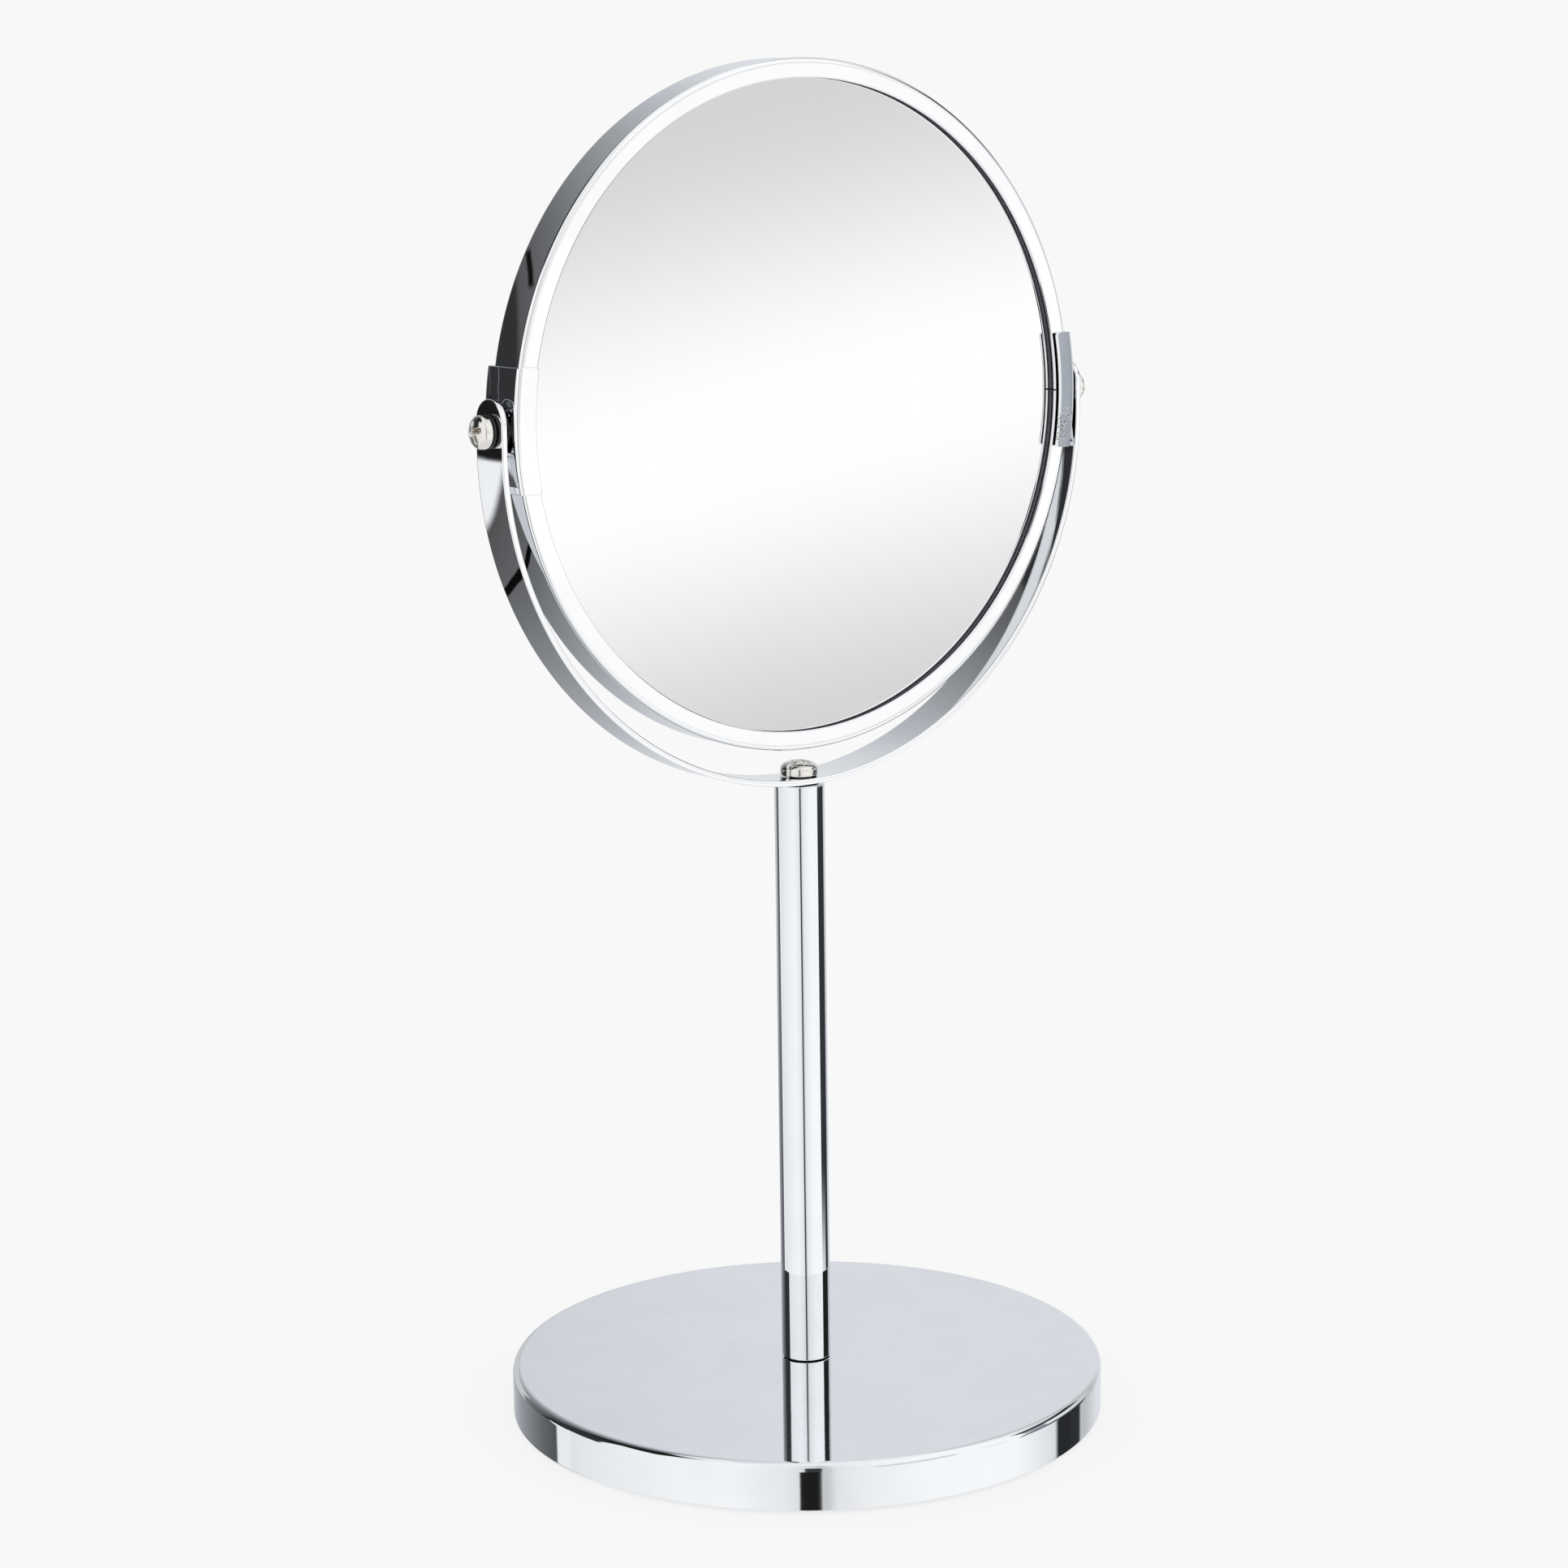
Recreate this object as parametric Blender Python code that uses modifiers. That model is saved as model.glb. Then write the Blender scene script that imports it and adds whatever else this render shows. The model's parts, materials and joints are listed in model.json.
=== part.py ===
"""Extendable shaving mirror: weighted round base, telescopic column, yoke and two-sided mirror.

The frame stands on z = 0 with the column on the Z axis. The head tilts about X and its plain
mirror looks along -Y. Sizes are in millimetres and MM turns them into metres.
"""
import math

import bmesh
import bpy

MM = 0.001
GAP = 0.3                 # air between pieces that touch on the real object
RUN = 0.08                # radial clearance of a running fit

# base
BASE_RADIUS = 76.2
BASE_HEIGHT = 12.5
COVER_WALL = 1.0
COVER_CORNER = 2.0
COVER_RIM = 0.5           # height of the cover's open edge above the floor
PAD_RADIUS = 73.2
PAD_THICKNESS = 1.9
WEIGHT_RADIUS = 74.7
WEIGHT_WEB = 2.8          # iron left above the bolt's pocket
POCKET_RADIUS = 9.0

# column tube and the bolt that holds it
TUBE_RADIUS = 6.35
TUBE_BORE = 5.15
BOLT_RADIUS = 3.0
BOLT_TIP = 24.0
INSERT_TOP = 27.0

# head
PIVOT_HEIGHT = 258.0
RING_RADIUS = 84.8
RING_HALF_DEPTH = 6.0
RING_WALL = 0.9
RING_CORNER = 1.2
LIP_INNER = 80.0
LIP_THICKNESS = 1.7
RING_JOINT = 0.2          # the lips of each half ring stop this far from the pivot's level
NUT_NOTCH = 4.0           # the wall between the lips stops this far from it, clear of the nut
GLASS_RADIUS = 82.4
GLASS_THICKNESS = 1.9
MAGNIFIER_CURVE = 850.0   # radius of the hollow mirror's surface
MAGNIFIER_THICKNESS = 1.8
SPACER_INNER = 74.0
CLIP_SHEET = 0.8
CLIP_HALF_HEIGHT = 14.8
CLIP_CORNER = 1.2
BOSS_RISE = 0.4
WASHER_THICKNESS = 0.5

# yoke
YOKE_SHEET = 1.5
YOKE_HALF_WIDTH = 5.75
YOKE_DROP = 5.0           # the arc's centre lies this far below the pivot
YOKE_OVER_PIVOT = 7.6     # arm end above the pivot

# screws
PIVOT_SCREW = {"shank": 2.0, "head": 4.0, "height": 3.1, "length": 7.1}
YOKE_SCREW = {"shank": 2.45, "head": 4.8, "height": 3.6, "length": 14.0}

# telescope
ROD_RADIUS = 4.3
ROD_BOTTOM = 28.0
ROD_NECK = 3.6
TRAVEL = 100.0

# places that follow from the sizes above
COVER_UNDERSIDE = BASE_HEIGHT - COVER_WALL
CLIP_INNER = RING_RADIUS + GAP
CLIP_OUTER = CLIP_INNER + CLIP_SHEET
BOSS_FACE = CLIP_OUTER + BOSS_RISE
YOKE_INNER = BOSS_FACE + WASHER_THICKNESS + 2 * GAP
YOKE_RADIUS = YOKE_INNER + YOKE_SHEET
YOKE_SEAT = PIVOT_HEIGHT - YOKE_DROP - YOKE_INNER
YOKE_UNDERSIDE = YOKE_SEAT - YOKE_SHEET
TUBE_TOP = YOKE_UNDERSIDE - GAP
TUBE_FOOT = BASE_HEIGHT + GAP
ROD_TOP = TUBE_TOP - 0.9
STOP_RING_BOTTOM = 40.1
STOP_RING_TOP = 41.0
GUIDE_BOTTOM = 29.6
GUIDE_TOP = 38.2
BUSH_BOTTOM = STOP_RING_TOP + TRAVEL + GAP
BUSH_TOP = ROD_TOP - GAP
BUSH_RIB = 150.4

FINE = 64                 # sides of a large round piece
COARSE = 24               # sides of a small one
SLIDING = 32              # sides of the tube, the rod and what runs between them


def clear_scene():
    for obj in list(bpy.data.objects):
        bpy.data.objects.remove(obj, do_unlink=True)


def new_collection(name):
    collection = bpy.data.collections.new(name)
    bpy.context.scene.collection.children.link(collection)
    return collection


clear_scene()
PARTS = new_collection("extendable_shaving_mirror")
CUTTERS = new_collection("cutters")


def make_material(name, colour, roughness, metallic):
    material = bpy.data.materials.new(name)
    material.use_nodes = True
    material.diffuse_color = (*colour, 1.0)
    shader = material.node_tree.nodes["Principled BSDF"]
    shader.inputs["Base Color"].default_value = (*colour, 1.0)
    shader.inputs["Roughness"].default_value = roughness
    shader.inputs["Metallic"].default_value = metallic
    return material


CHROME = make_material("chrome", (0.84, 0.86, 0.90), 0.05, 1.0)
SCREW_STEEL = make_material("nickel_plate", (0.72, 0.70, 0.67), 0.15, 1.0)
STEEL = make_material("plain_steel", (0.52, 0.53, 0.55), 0.35, 1.0)
CAST_IRON = make_material("cast_iron", (0.09, 0.09, 0.10), 0.75, 0.6)
BRASS = make_material("brass", (0.78, 0.62, 0.33), 0.3, 1.0)
NYLON = make_material("black_nylon", (0.03, 0.03, 0.03), 0.5, 0.0)
ACETAL = make_material("white_acetal", (0.85, 0.85, 0.82), 0.45, 0.0)
FOAM = make_material("foam_pad", (0.05, 0.05, 0.055), 0.9, 0.0)
SILVERED = make_material("mirror_glass", (0.93, 0.94, 0.94), 0.01, 1.0)
CARD = make_material("spacer_card", (0.45, 0.42, 0.38), 0.9, 0.0)


def make_axis(name, location, parent=None):
    """An empty on a joint's axis. Its pieces are placed relative to it."""
    empty = bpy.data.objects.new(name, None)
    empty.location = [value * MM for value in location]
    empty.parent = parent
    PARTS.objects.link(empty)
    return empty


def place(obj, parent, location=(0, 0, 0), rotation=(0, 0, 0)):
    """Millimetres and degrees from the parent. The turn about Z is made first, that about X last."""
    obj.parent = parent
    obj.rotation_mode = "ZYX"
    obj.location = [value * MM for value in location]
    obj.rotation_euler = [math.radians(angle) for angle in rotation]
    return obj


def make_cutter(obj):
    obj.hide_render = True
    obj.display_type = "WIRE"
    for collection in list(obj.users_collection):
        collection.objects.unlink(obj)
    CUTTERS.objects.link(obj)
    return obj


def round_corner(centre_r, centre_z, radius, start, end, count=5):
    """Points of a rounded corner between two angles in degrees."""
    points = []
    for index in range(count + 1):
        angle = math.radians(start + (end - start) * index / count)
        points.append((centre_r + radius * math.cos(angle), centre_z + radius * math.sin(angle)))
    return points


def turned(name, profile, material, steps=COARSE, closed=False):
    """A piece turned about Z from (radius, height) points that run down its outer side."""
    mesh = bpy.data.meshes.new(name)
    edges = [(index, index + 1) for index in range(len(profile) - 1)]
    if closed:
        edges.append((len(profile) - 1, 0))
    mesh.from_pydata([(r * MM, 0.0, z * MM) for r, z in profile], edges, [])
    obj = bpy.data.objects.new(name, mesh)
    PARTS.objects.link(obj)
    turn = obj.modifiers.new("turn", "SCREW")
    turn.angle = math.tau
    turn.steps = steps
    turn.render_steps = steps
    turn.use_merge_vertices = True
    turn.merge_threshold = 0.00001
    if material:
        mesh.materials.append(material)
    return obj


def sleeve(name, inner, outer, bottom, top, material, steps=COARSE):
    """A plain ring or tube with square ends."""
    profile = [(inner, top), (outer, top), (outer, bottom), (inner, bottom)]
    return turned(name, profile, material, steps, closed=True)


def box_cutter(name, size, parent, location):
    mesh = bpy.data.meshes.new(name)
    shape = bmesh.new()
    bmesh.ops.create_cube(shape, size=1.0)
    bmesh.ops.scale(shape, vec=[value * MM for value in size], verts=shape.verts)
    shape.to_mesh(mesh)
    shape.free()
    obj = bpy.data.objects.new(name, mesh)
    CUTTERS.objects.link(obj)
    place(obj, parent, location)
    return make_cutter(obj)


def pin_cutter(name, radius, length, parent, location, rotation=(0, 0, 0), squash=1.0):
    """A round cutter about its own Z, narrowed along its own Y by squash."""
    mesh = bpy.data.meshes.new(name)
    shape = bmesh.new()
    bmesh.ops.create_cone(shape, cap_ends=True, segments=COARSE, radius1=radius * MM,
                          radius2=radius * MM, depth=length * MM)
    bmesh.ops.scale(shape, vec=(1.0, squash, 1.0), verts=shape.verts)
    shape.to_mesh(mesh)
    shape.free()
    obj = bpy.data.objects.new(name, mesh)
    CUTTERS.objects.link(obj)
    place(obj, parent, location, rotation)
    return make_cutter(obj)


def cross_cutter(name, reach, width, depth, taper):
    """A cross recess: its outline narrows towards the floor, which lies at z = -depth."""
    half = width / 2
    outline = []
    for quarter in range(4):
        turn = math.radians(90 * quarter)
        for x, y in ((reach, -half), (reach, half), (half, half)):
            outline.append((x * math.cos(turn) - y * math.sin(turn),
                            x * math.sin(turn) + y * math.cos(turn)))
    mesh = bpy.data.meshes.new(name)
    shape = bmesh.new()
    mouth = shape.faces.new([shape.verts.new((x * MM, y * MM, depth * MM)) for x, y in outline])
    floor = bmesh.ops.extrude_face_region(shape, geom=[mouth])["geom"]
    lower = [item for item in floor if isinstance(item, bmesh.types.BMVert)]
    bmesh.ops.translate(shape, vec=(0, 0, -2 * depth * MM), verts=lower)
    bmesh.ops.scale(shape, vec=(taper, taper, 1.0), verts=lower)
    bmesh.ops.recalc_face_normals(shape, faces=shape.faces)
    shape.to_mesh(mesh)
    shape.free()
    obj = bpy.data.objects.new(name, mesh)
    CUTTERS.objects.link(obj)
    return make_cutter(obj)


def combine(obj, other, operation="DIFFERENCE"):
    modifier = obj.modifiers.new(operation.lower(), "BOOLEAN")
    modifier.operation = operation
    modifier.object = other
    modifier.solver = "EXACT"
    return obj


def set_shape(obj):
    """Turn a piece's modifiers into its mesh and shade its round faces smooth."""
    bpy.context.view_layer.update()
    evaluated = obj.evaluated_get(bpy.context.evaluated_depsgraph_get())
    mesh = bpy.data.meshes.new_from_object(evaluated)
    obj.modifiers.clear()
    obj.data = mesh
    mesh.shade_smooth()
    mesh.set_sharp_from_angle(angle=math.radians(32))


# ---- base ---------------------------------------------------------------------------------

def build_base_cover():
    """Deep-drawn round cover, open underneath, with the bolt's hole in its middle."""
    corner = (BASE_RADIUS - COVER_CORNER, BASE_HEIGHT - COVER_CORNER)
    profile = [(BOLT_RADIUS + GAP, BASE_HEIGHT)]
    profile += round_corner(*corner, COVER_CORNER, 90, 0)
    profile += [(BASE_RADIUS, COVER_RIM), (BASE_RADIUS - COVER_WALL, COVER_RIM)]
    profile += round_corner(*corner, COVER_CORNER - COVER_WALL, 0, 90, 3)
    profile += [(BOLT_RADIUS + GAP, COVER_UNDERSIDE)]
    turned("base_cover", profile, CHROME, FINE, closed=True)


def build_base_weight():
    """Cast disc that fills the cover, with a pocket underneath for the bolt's head."""
    top = COVER_UNDERSIDE - GAP
    bottom = PAD_THICKNESS + GAP
    hole = BOLT_RADIUS + GAP
    profile = [(hole, top), (WEIGHT_RADIUS - 1.5, top), (WEIGHT_RADIUS, top - 1.5)]
    profile += [(WEIGHT_RADIUS, bottom), (POCKET_RADIUS, bottom)]
    profile += [(POCKET_RADIUS, top - WEIGHT_WEB), (hole, top - WEIGHT_WEB)]
    turned("base_weight", profile, CAST_IRON, FINE, closed=True)


def build_base_pad():
    profile = [(0, PAD_THICKNESS), (PAD_RADIUS, PAD_THICKNESS), (PAD_RADIUS, 0), (0, 0)]
    turned("base_pad", profile, FOAM, FINE)


def build_column_bolt():
    """Hexagon bolt with its two washers, from below through weight and cover."""
    washer_top = COVER_UNDERSIDE - GAP - WEIGHT_WEB - GAP
    sleeve("base_washer", BOLT_RADIUS + GAP, 6.2, washer_top - 1.0, washer_top, STEEL)
    lock_top = washer_top - 1.0 - GAP
    sleeve("base_lock_washer", BOLT_RADIUS + GAP, 5.4, lock_top - 0.6, lock_top, STEEL)
    head_top = lock_top - 0.6 - GAP
    head_height = head_top - PAD_THICKNESS - 2 * GAP
    shank = [(0, BOLT_TIP), (BOLT_RADIUS - 0.6, BOLT_TIP), (BOLT_RADIUS, BOLT_TIP - 0.6)]
    shank += [(BOLT_RADIUS, head_top - 1.0), (0, head_top - 1.0)]
    bolt = turned("column_bolt", shank, STEEL)
    across_corners = 10.0 / math.cos(math.radians(30))
    mesh = bpy.data.meshes.new("hexagon")
    shape = bmesh.new()
    bmesh.ops.create_cone(shape, cap_ends=True, segments=6, radius1=across_corners / 2 * MM,
                          radius2=across_corners / 2 * MM, depth=head_height * MM)
    shape.to_mesh(mesh)
    shape.free()
    hexagon = bpy.data.objects.new("hexagon", mesh)
    CUTTERS.objects.link(hexagon)
    place(hexagon, None, (0, 0, head_top - head_height / 2))
    make_cutter(hexagon)
    combine(bolt, hexagon, "UNION")


# ---- column -------------------------------------------------------------------------------

def build_column():
    """Outer tube with the groove that holds the bush, and the threaded insert in its foot."""
    rib = 0.35
    profile = [(TUBE_BORE, TUBE_TOP), (TUBE_RADIUS - 0.4, TUBE_TOP), (TUBE_RADIUS, TUBE_TOP - 0.4)]
    profile += [(TUBE_RADIUS, TUBE_FOOT), (TUBE_BORE, TUBE_FOOT)]
    profile += [(TUBE_BORE, BUSH_RIB - 1.0), (TUBE_BORE + rib, BUSH_RIB - 1.0)]
    profile += [(TUBE_BORE + rib, BUSH_RIB + 1.0), (TUBE_BORE, BUSH_RIB + 1.0)]
    turned("column_tube", profile, CHROME, SLIDING, closed=True)
    sleeve("column_insert", BOLT_RADIUS + GAP, TUBE_BORE - GAP, TUBE_FOOT, INSERT_TOP, BRASS)


def build_tube_bush():
    """Split friction bush: a rib holds it in the tube's groove and it grips the rod."""
    outer = TUBE_BORE - RUN
    rib = 0.25
    profile = [(ROD_RADIUS + RUN, BUSH_TOP), (outer, BUSH_TOP)]
    profile += [(outer, BUSH_RIB + 0.7), (outer + rib, BUSH_RIB + 0.7)]
    profile += [(outer + rib, BUSH_RIB - 0.7), (outer, BUSH_RIB - 0.7)]
    profile += [(outer, BUSH_BOTTOM), (ROD_RADIUS + RUN, BUSH_BOTTOM)]
    bush = turned("tube_bush", profile, ACETAL, SLIDING, closed=True)
    middle = (BUSH_TOP + BUSH_BOTTOM) / 2
    slit = box_cutter("bush_slit", (4.0, 1.2, BUSH_TOP - BUSH_BOTTOM + 2.0), None, (6.0, 0, middle))
    combine(bush, slit)


# ---- telescopic rod -----------------------------------------------------------------------

def build_rod(axis):
    """Inner rod, tapped at its top, with grooves at its foot for the guide and the stop ring."""
    tapped = YOKE_SCREW["shank"] + 0.35
    depth = 13.0
    profile = [(0, ROD_TOP - depth), (tapped, ROD_TOP - depth), (tapped, ROD_TOP)]
    profile += [(ROD_RADIUS - 0.3, ROD_TOP), (ROD_RADIUS, ROD_TOP - 0.3)]
    for bottom, top in ((STOP_RING_BOTTOM, STOP_RING_TOP), (GUIDE_BOTTOM, GUIDE_TOP)):
        profile += [(ROD_RADIUS, top + GAP), (ROD_NECK, top + GAP)]
        profile += [(ROD_NECK, bottom - GAP), (ROD_RADIUS, bottom - GAP)]
    profile += [(ROD_RADIUS, ROD_BOTTOM + 0.5), (ROD_RADIUS - 0.5, ROD_BOTTOM), (0, ROD_BOTTOM)]
    place(turned("inner_rod", profile, CHROME, SLIDING), axis)


def build_rod_fittings(axis):
    """Split guide that runs in the tube, and the ring that stops the rod at full height."""
    inner = ROD_NECK + GAP
    guide = sleeve("rod_guide", inner, TUBE_BORE - RUN, GUIDE_BOTTOM, GUIDE_TOP, ACETAL, SLIDING)
    place(guide, axis)
    height = GUIDE_TOP - GUIDE_BOTTOM
    middle = (GUIDE_TOP + GUIDE_BOTTOM) / 2
    combine(guide, box_cutter("guide_slit", (4.0, 1.5, height + 2), axis, (-6.0, 0, middle)))
    ring = sleeve("rod_stop_ring", inner, TUBE_BORE - GAP, STOP_RING_BOTTOM, STOP_RING_TOP, STEEL)
    place(ring, axis)
    height = STOP_RING_TOP - STOP_RING_BOTTOM
    middle = (STOP_RING_TOP + STOP_RING_BOTTOM) / 2
    combine(ring, box_cutter("stop_ring_gap", (6.0, 3.4, height + 2), axis, (0, -6.0, middle)))


# ---- screws -------------------------------------------------------------------------------

def build_cross_screw(name, size, parent, location, rotation):
    """Pan-head screw with a cross recess. Its head stands on z = 0 and its shank hangs below."""
    shank, head, height, length = size["shank"], size["head"], size["height"], size["length"]
    edge = height * 0.4
    dome = []
    for index in range(8):
        angle = math.radians(90.0 * index / 7)
        dome.append((head * math.sin(angle), edge + (height - edge) * math.cos(angle)))
    profile = dome + [(head, 0.3), (head - 0.3, 0), (shank, 0), (shank, 0.5 - length)]
    profile += [(shank - 0.5, -length), (0, -length)]
    screw = place(turned(name, profile, SCREW_STEEL), parent, location, rotation)
    recess = cross_cutter(name + "_recess", head * 0.75, head * 0.27, height * 0.6, 0.3)
    place(recess, screw, (0, 0, height))
    combine(screw, recess)


# ---- yoke ---------------------------------------------------------------------------------

def yoke_outline():
    """Closed U outline in x and z about the pivot: arc below the centre, straight arms above."""
    top = YOKE_OVER_PIVOT
    centre = -YOKE_DROP
    steps = 40
    outline = [(YOKE_RADIUS, top)]
    for index in range(steps + 1):
        angle = -math.pi * index / steps
        outline.append((YOKE_RADIUS * math.cos(angle), centre + YOKE_RADIUS * math.sin(angle)))
    outline += [(-YOKE_RADIUS, top), (-YOKE_INNER, top)]
    for index in range(steps + 1):
        angle = -math.pi + math.pi * index / steps
        outline.append((YOKE_INNER * math.cos(angle), centre + YOKE_INNER * math.sin(angle)))
    outline.append((YOKE_INNER, top))
    return outline


def build_yoke(axis):
    """Flat band bent to a U, its arm ends rounded, drilled for the pivots and the centre screw."""
    curve = bpy.data.curves.new("yoke", "CURVE")
    curve.dimensions = "2D"
    curve.fill_mode = "BOTH"
    curve.extrude = YOKE_HALF_WIDTH * MM
    outline = yoke_outline()
    spline = curve.splines.new("POLY")
    spline.points.add(len(outline) - 1)
    for point, (x, z) in zip(spline.points, outline):
        point.co = (x * MM, z * MM, 0.0, 1.0)
    spline.use_cyclic_u = True
    flat = bpy.data.objects.new("yoke_outline", curve)
    PARTS.objects.link(flat)
    place(flat, axis, (0, 0, PIVOT_HEIGHT - YOKE_UNDERSIDE), (90, 0, 0))
    bpy.context.view_layer.update()
    evaluated = flat.evaluated_get(bpy.context.evaluated_depsgraph_get())
    mesh = bpy.data.meshes.new_from_object(evaluated)
    shape = bmesh.new()
    shape.from_mesh(mesh)
    bmesh.ops.remove_doubles(shape, verts=shape.verts, dist=0.00001)
    bmesh.ops.recalc_face_normals(shape, faces=shape.faces)
    shape.to_mesh(mesh)
    shape.free()
    yoke = bpy.data.objects.new("yoke", mesh)
    PARTS.objects.link(yoke)
    place(yoke, axis, (0, 0, PIVOT_HEIGHT - YOKE_UNDERSIDE), (90, 0, 0))
    bpy.data.objects.remove(flat, do_unlink=True)
    mesh.materials.clear()
    mesh.materials.append(CHROME)
    pivot = PIVOT_HEIGHT - YOKE_UNDERSIDE
    add_arm_ends(yoke, axis, pivot)
    hole = PIVOT_SCREW["shank"] + RUN
    across = 2 * YOKE_RADIUS + 4
    combine(yoke, pin_cutter("pivot_holes", hole, across, axis, (0, 0, pivot), (0, 90, 0)))
    hole = YOKE_SCREW["shank"] + GAP
    combine(yoke, pin_cutter("centre_hole", hole, 6.0, axis, (0, 0, YOKE_SHEET / 2)))


def add_arm_ends(yoke, axis, pivot):
    """Round both arm ends: keep what lies in a bar with a half-round top across the yoke."""
    round_centre = pivot + YOKE_OVER_PIVOT - YOKE_HALF_WIDTH
    bar = box_cutter("arm_bar", (200.0, 2 * YOKE_HALF_WIDTH + 1, round_centre + 10.0), axis,
                     (0, 0, round_centre / 2 - 5.0))
    cap = pin_cutter("arm_cap", YOKE_HALF_WIDTH, 200.0, axis, (0, 0, round_centre), (0, 90, 0))
    combine(bar, cap, "UNION")
    combine(yoke, bar, "INTERSECT")


def build_yoke_fixing(axis):
    """Centre screw from above and the friction washer between the yoke and the rod's end."""
    build_cross_screw("yoke_screw", YOKE_SCREW, axis, (0, 0, YOKE_SHEET + GAP), (0, 0, 20))
    top = -GAP
    washer = sleeve("yoke_washer", YOKE_SCREW["shank"] + GAP, 4.6, top - 0.6, top, NYLON)
    place(washer, axis)


# ---- mirror head --------------------------------------------------------------------------

def channel_profile():
    """Section of the frame: an outer wall with a thick lip at the front and at the back."""
    depth, corner = RING_HALF_DEPTH, RING_CORNER
    seat = depth - LIP_THICKNESS
    profile = [(LIP_INNER, seat), (LIP_INNER, depth - 0.5), (LIP_INNER + 0.5, depth)]
    profile += round_corner(RING_RADIUS - corner, depth - corner, corner, 90, 0, 3)
    profile += round_corner(RING_RADIUS - corner, corner - depth, corner, 0, -90, 3)
    profile += [(LIP_INNER + 0.5, -depth), (LIP_INNER, 0.5 - depth), (LIP_INNER, -seat)]
    profile += [(RING_RADIUS - RING_WALL, -seat), (RING_RADIUS - RING_WALL, seat)]
    return profile


def build_half_ring(name, axis, side):
    """Upper or lower half of the frame. Its lips meet the other half's under the two clips."""
    ring = turned(name, channel_profile(), CHROME, FINE, closed=True)
    place(ring, axis, rotation=(90, 0, 0))
    height = 2 * RING_RADIUS
    cutter = box_cutter(name + "_side", (200.0, 20.0, height), axis,
                        (0, 0, side * (RING_JOINT + height / 2)))
    combine(ring, cutter, "INTERSECT")
    between_lips = 2 * (RING_HALF_DEPTH - LIP_THICKNESS)
    notch = box_cutter(name + "_notch", (200.0, between_lips, 2 * NUT_NOTCH), axis, (0, 0, 0))
    combine(ring, notch)


def build_plain_mirror(axis):
    """Flat mirror against the front lip. Front is -Y, so heights below are measured along -Y."""
    front = RING_HALF_DEPTH - LIP_THICKNESS - GAP
    back = front - GLASS_THICKNESS
    profile = [(0, front), (GLASS_RADIUS - 0.3, front), (GLASS_RADIUS, front - 0.3)]
    profile += [(GLASS_RADIUS, back), (0, back)]
    place(turned("mirror_plain", profile, SILVERED, FINE), axis, rotation=(90, 0, 0))


def build_magnifying_mirror(axis):
    """Hollow mirror against the back lip, looking along +Y."""
    rim = RING_HALF_DEPTH - LIP_THICKNESS - GAP
    middle = rim - GLASS_RADIUS ** 2 / (2 * MAGNIFIER_CURVE)
    rings = 5
    radii = [GLASS_RADIUS * index / rings for index in range(rings + 1)]
    face = [(r, middle + r * r / (2 * MAGNIFIER_CURVE)) for r in radii]
    back = [(r, z - MAGNIFIER_THICKNESS) for r, z in reversed(face)]
    glass = turned("mirror_magnifying", face + back, SILVERED, FINE)
    place(glass, axis, rotation=(-90, 0, 0))


def build_spacer(axis):
    """Card ring between the edges of the two mirrors."""
    front = RING_HALF_DEPTH - LIP_THICKNESS - GLASS_THICKNESS - 2 * GAP
    spacer = sleeve("mirror_spacer", SPACER_INNER, GLASS_RADIUS - 0.4, -1.1, front, CARD, FINE)
    place(spacer, axis, rotation=(90, 0, 0))


def clip_profile():
    """Section of a clip: sheet folded round the frame's wall and both lips."""
    outer_y = RING_HALF_DEPTH + GAP + CLIP_SHEET
    inner_y = RING_HALF_DEPTH + GAP
    mouth = LIP_INNER + 0.3
    corner = CLIP_CORNER
    profile = [(mouth, outer_y)]
    profile += round_corner(CLIP_OUTER - corner, outer_y - corner, corner, 90, 0, 3)
    profile += round_corner(CLIP_OUTER - corner, corner - outer_y, corner, 0, -90, 3)
    profile += [(mouth, -outer_y), (mouth, -inner_y), (CLIP_INNER, -inner_y)]
    profile += [(CLIP_INNER, inner_y), (mouth, inner_y)]
    return profile


def build_clip(name, axis, side):
    """Clip that joins the half rings at one pivot, with a pressed boss round the screw."""
    clip = turned(name, clip_profile(), CHROME, 120, closed=True)
    place(clip, axis, rotation=(90, 0, 0))
    reach = 20.0
    cutter = box_cutter(name + "_reach", (reach, 20.0, 2 * CLIP_HALF_HEIGHT), axis,
                        (side * (CLIP_OUTER + 1.0 - reach / 2), 0, 0))
    combine(clip, cutter, "INTERSECT")
    boss_root = CLIP_OUTER - CLIP_SHEET / 2 - 0.1
    boss = pin_cutter(name + "_boss", 7.5, BOSS_FACE - boss_root, axis,
                      (side * (BOSS_FACE + boss_root) / 2, 0, 0), (0, 90, 0), squash=0.78)
    combine(clip, boss, "UNION")
    hole = PIVOT_SCREW["shank"] + GAP
    combine(clip, pin_cutter(name + "_hole", hole, 8.0, axis, (side * CLIP_OUTER, 0, 0), (0, 90, 0)))


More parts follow.
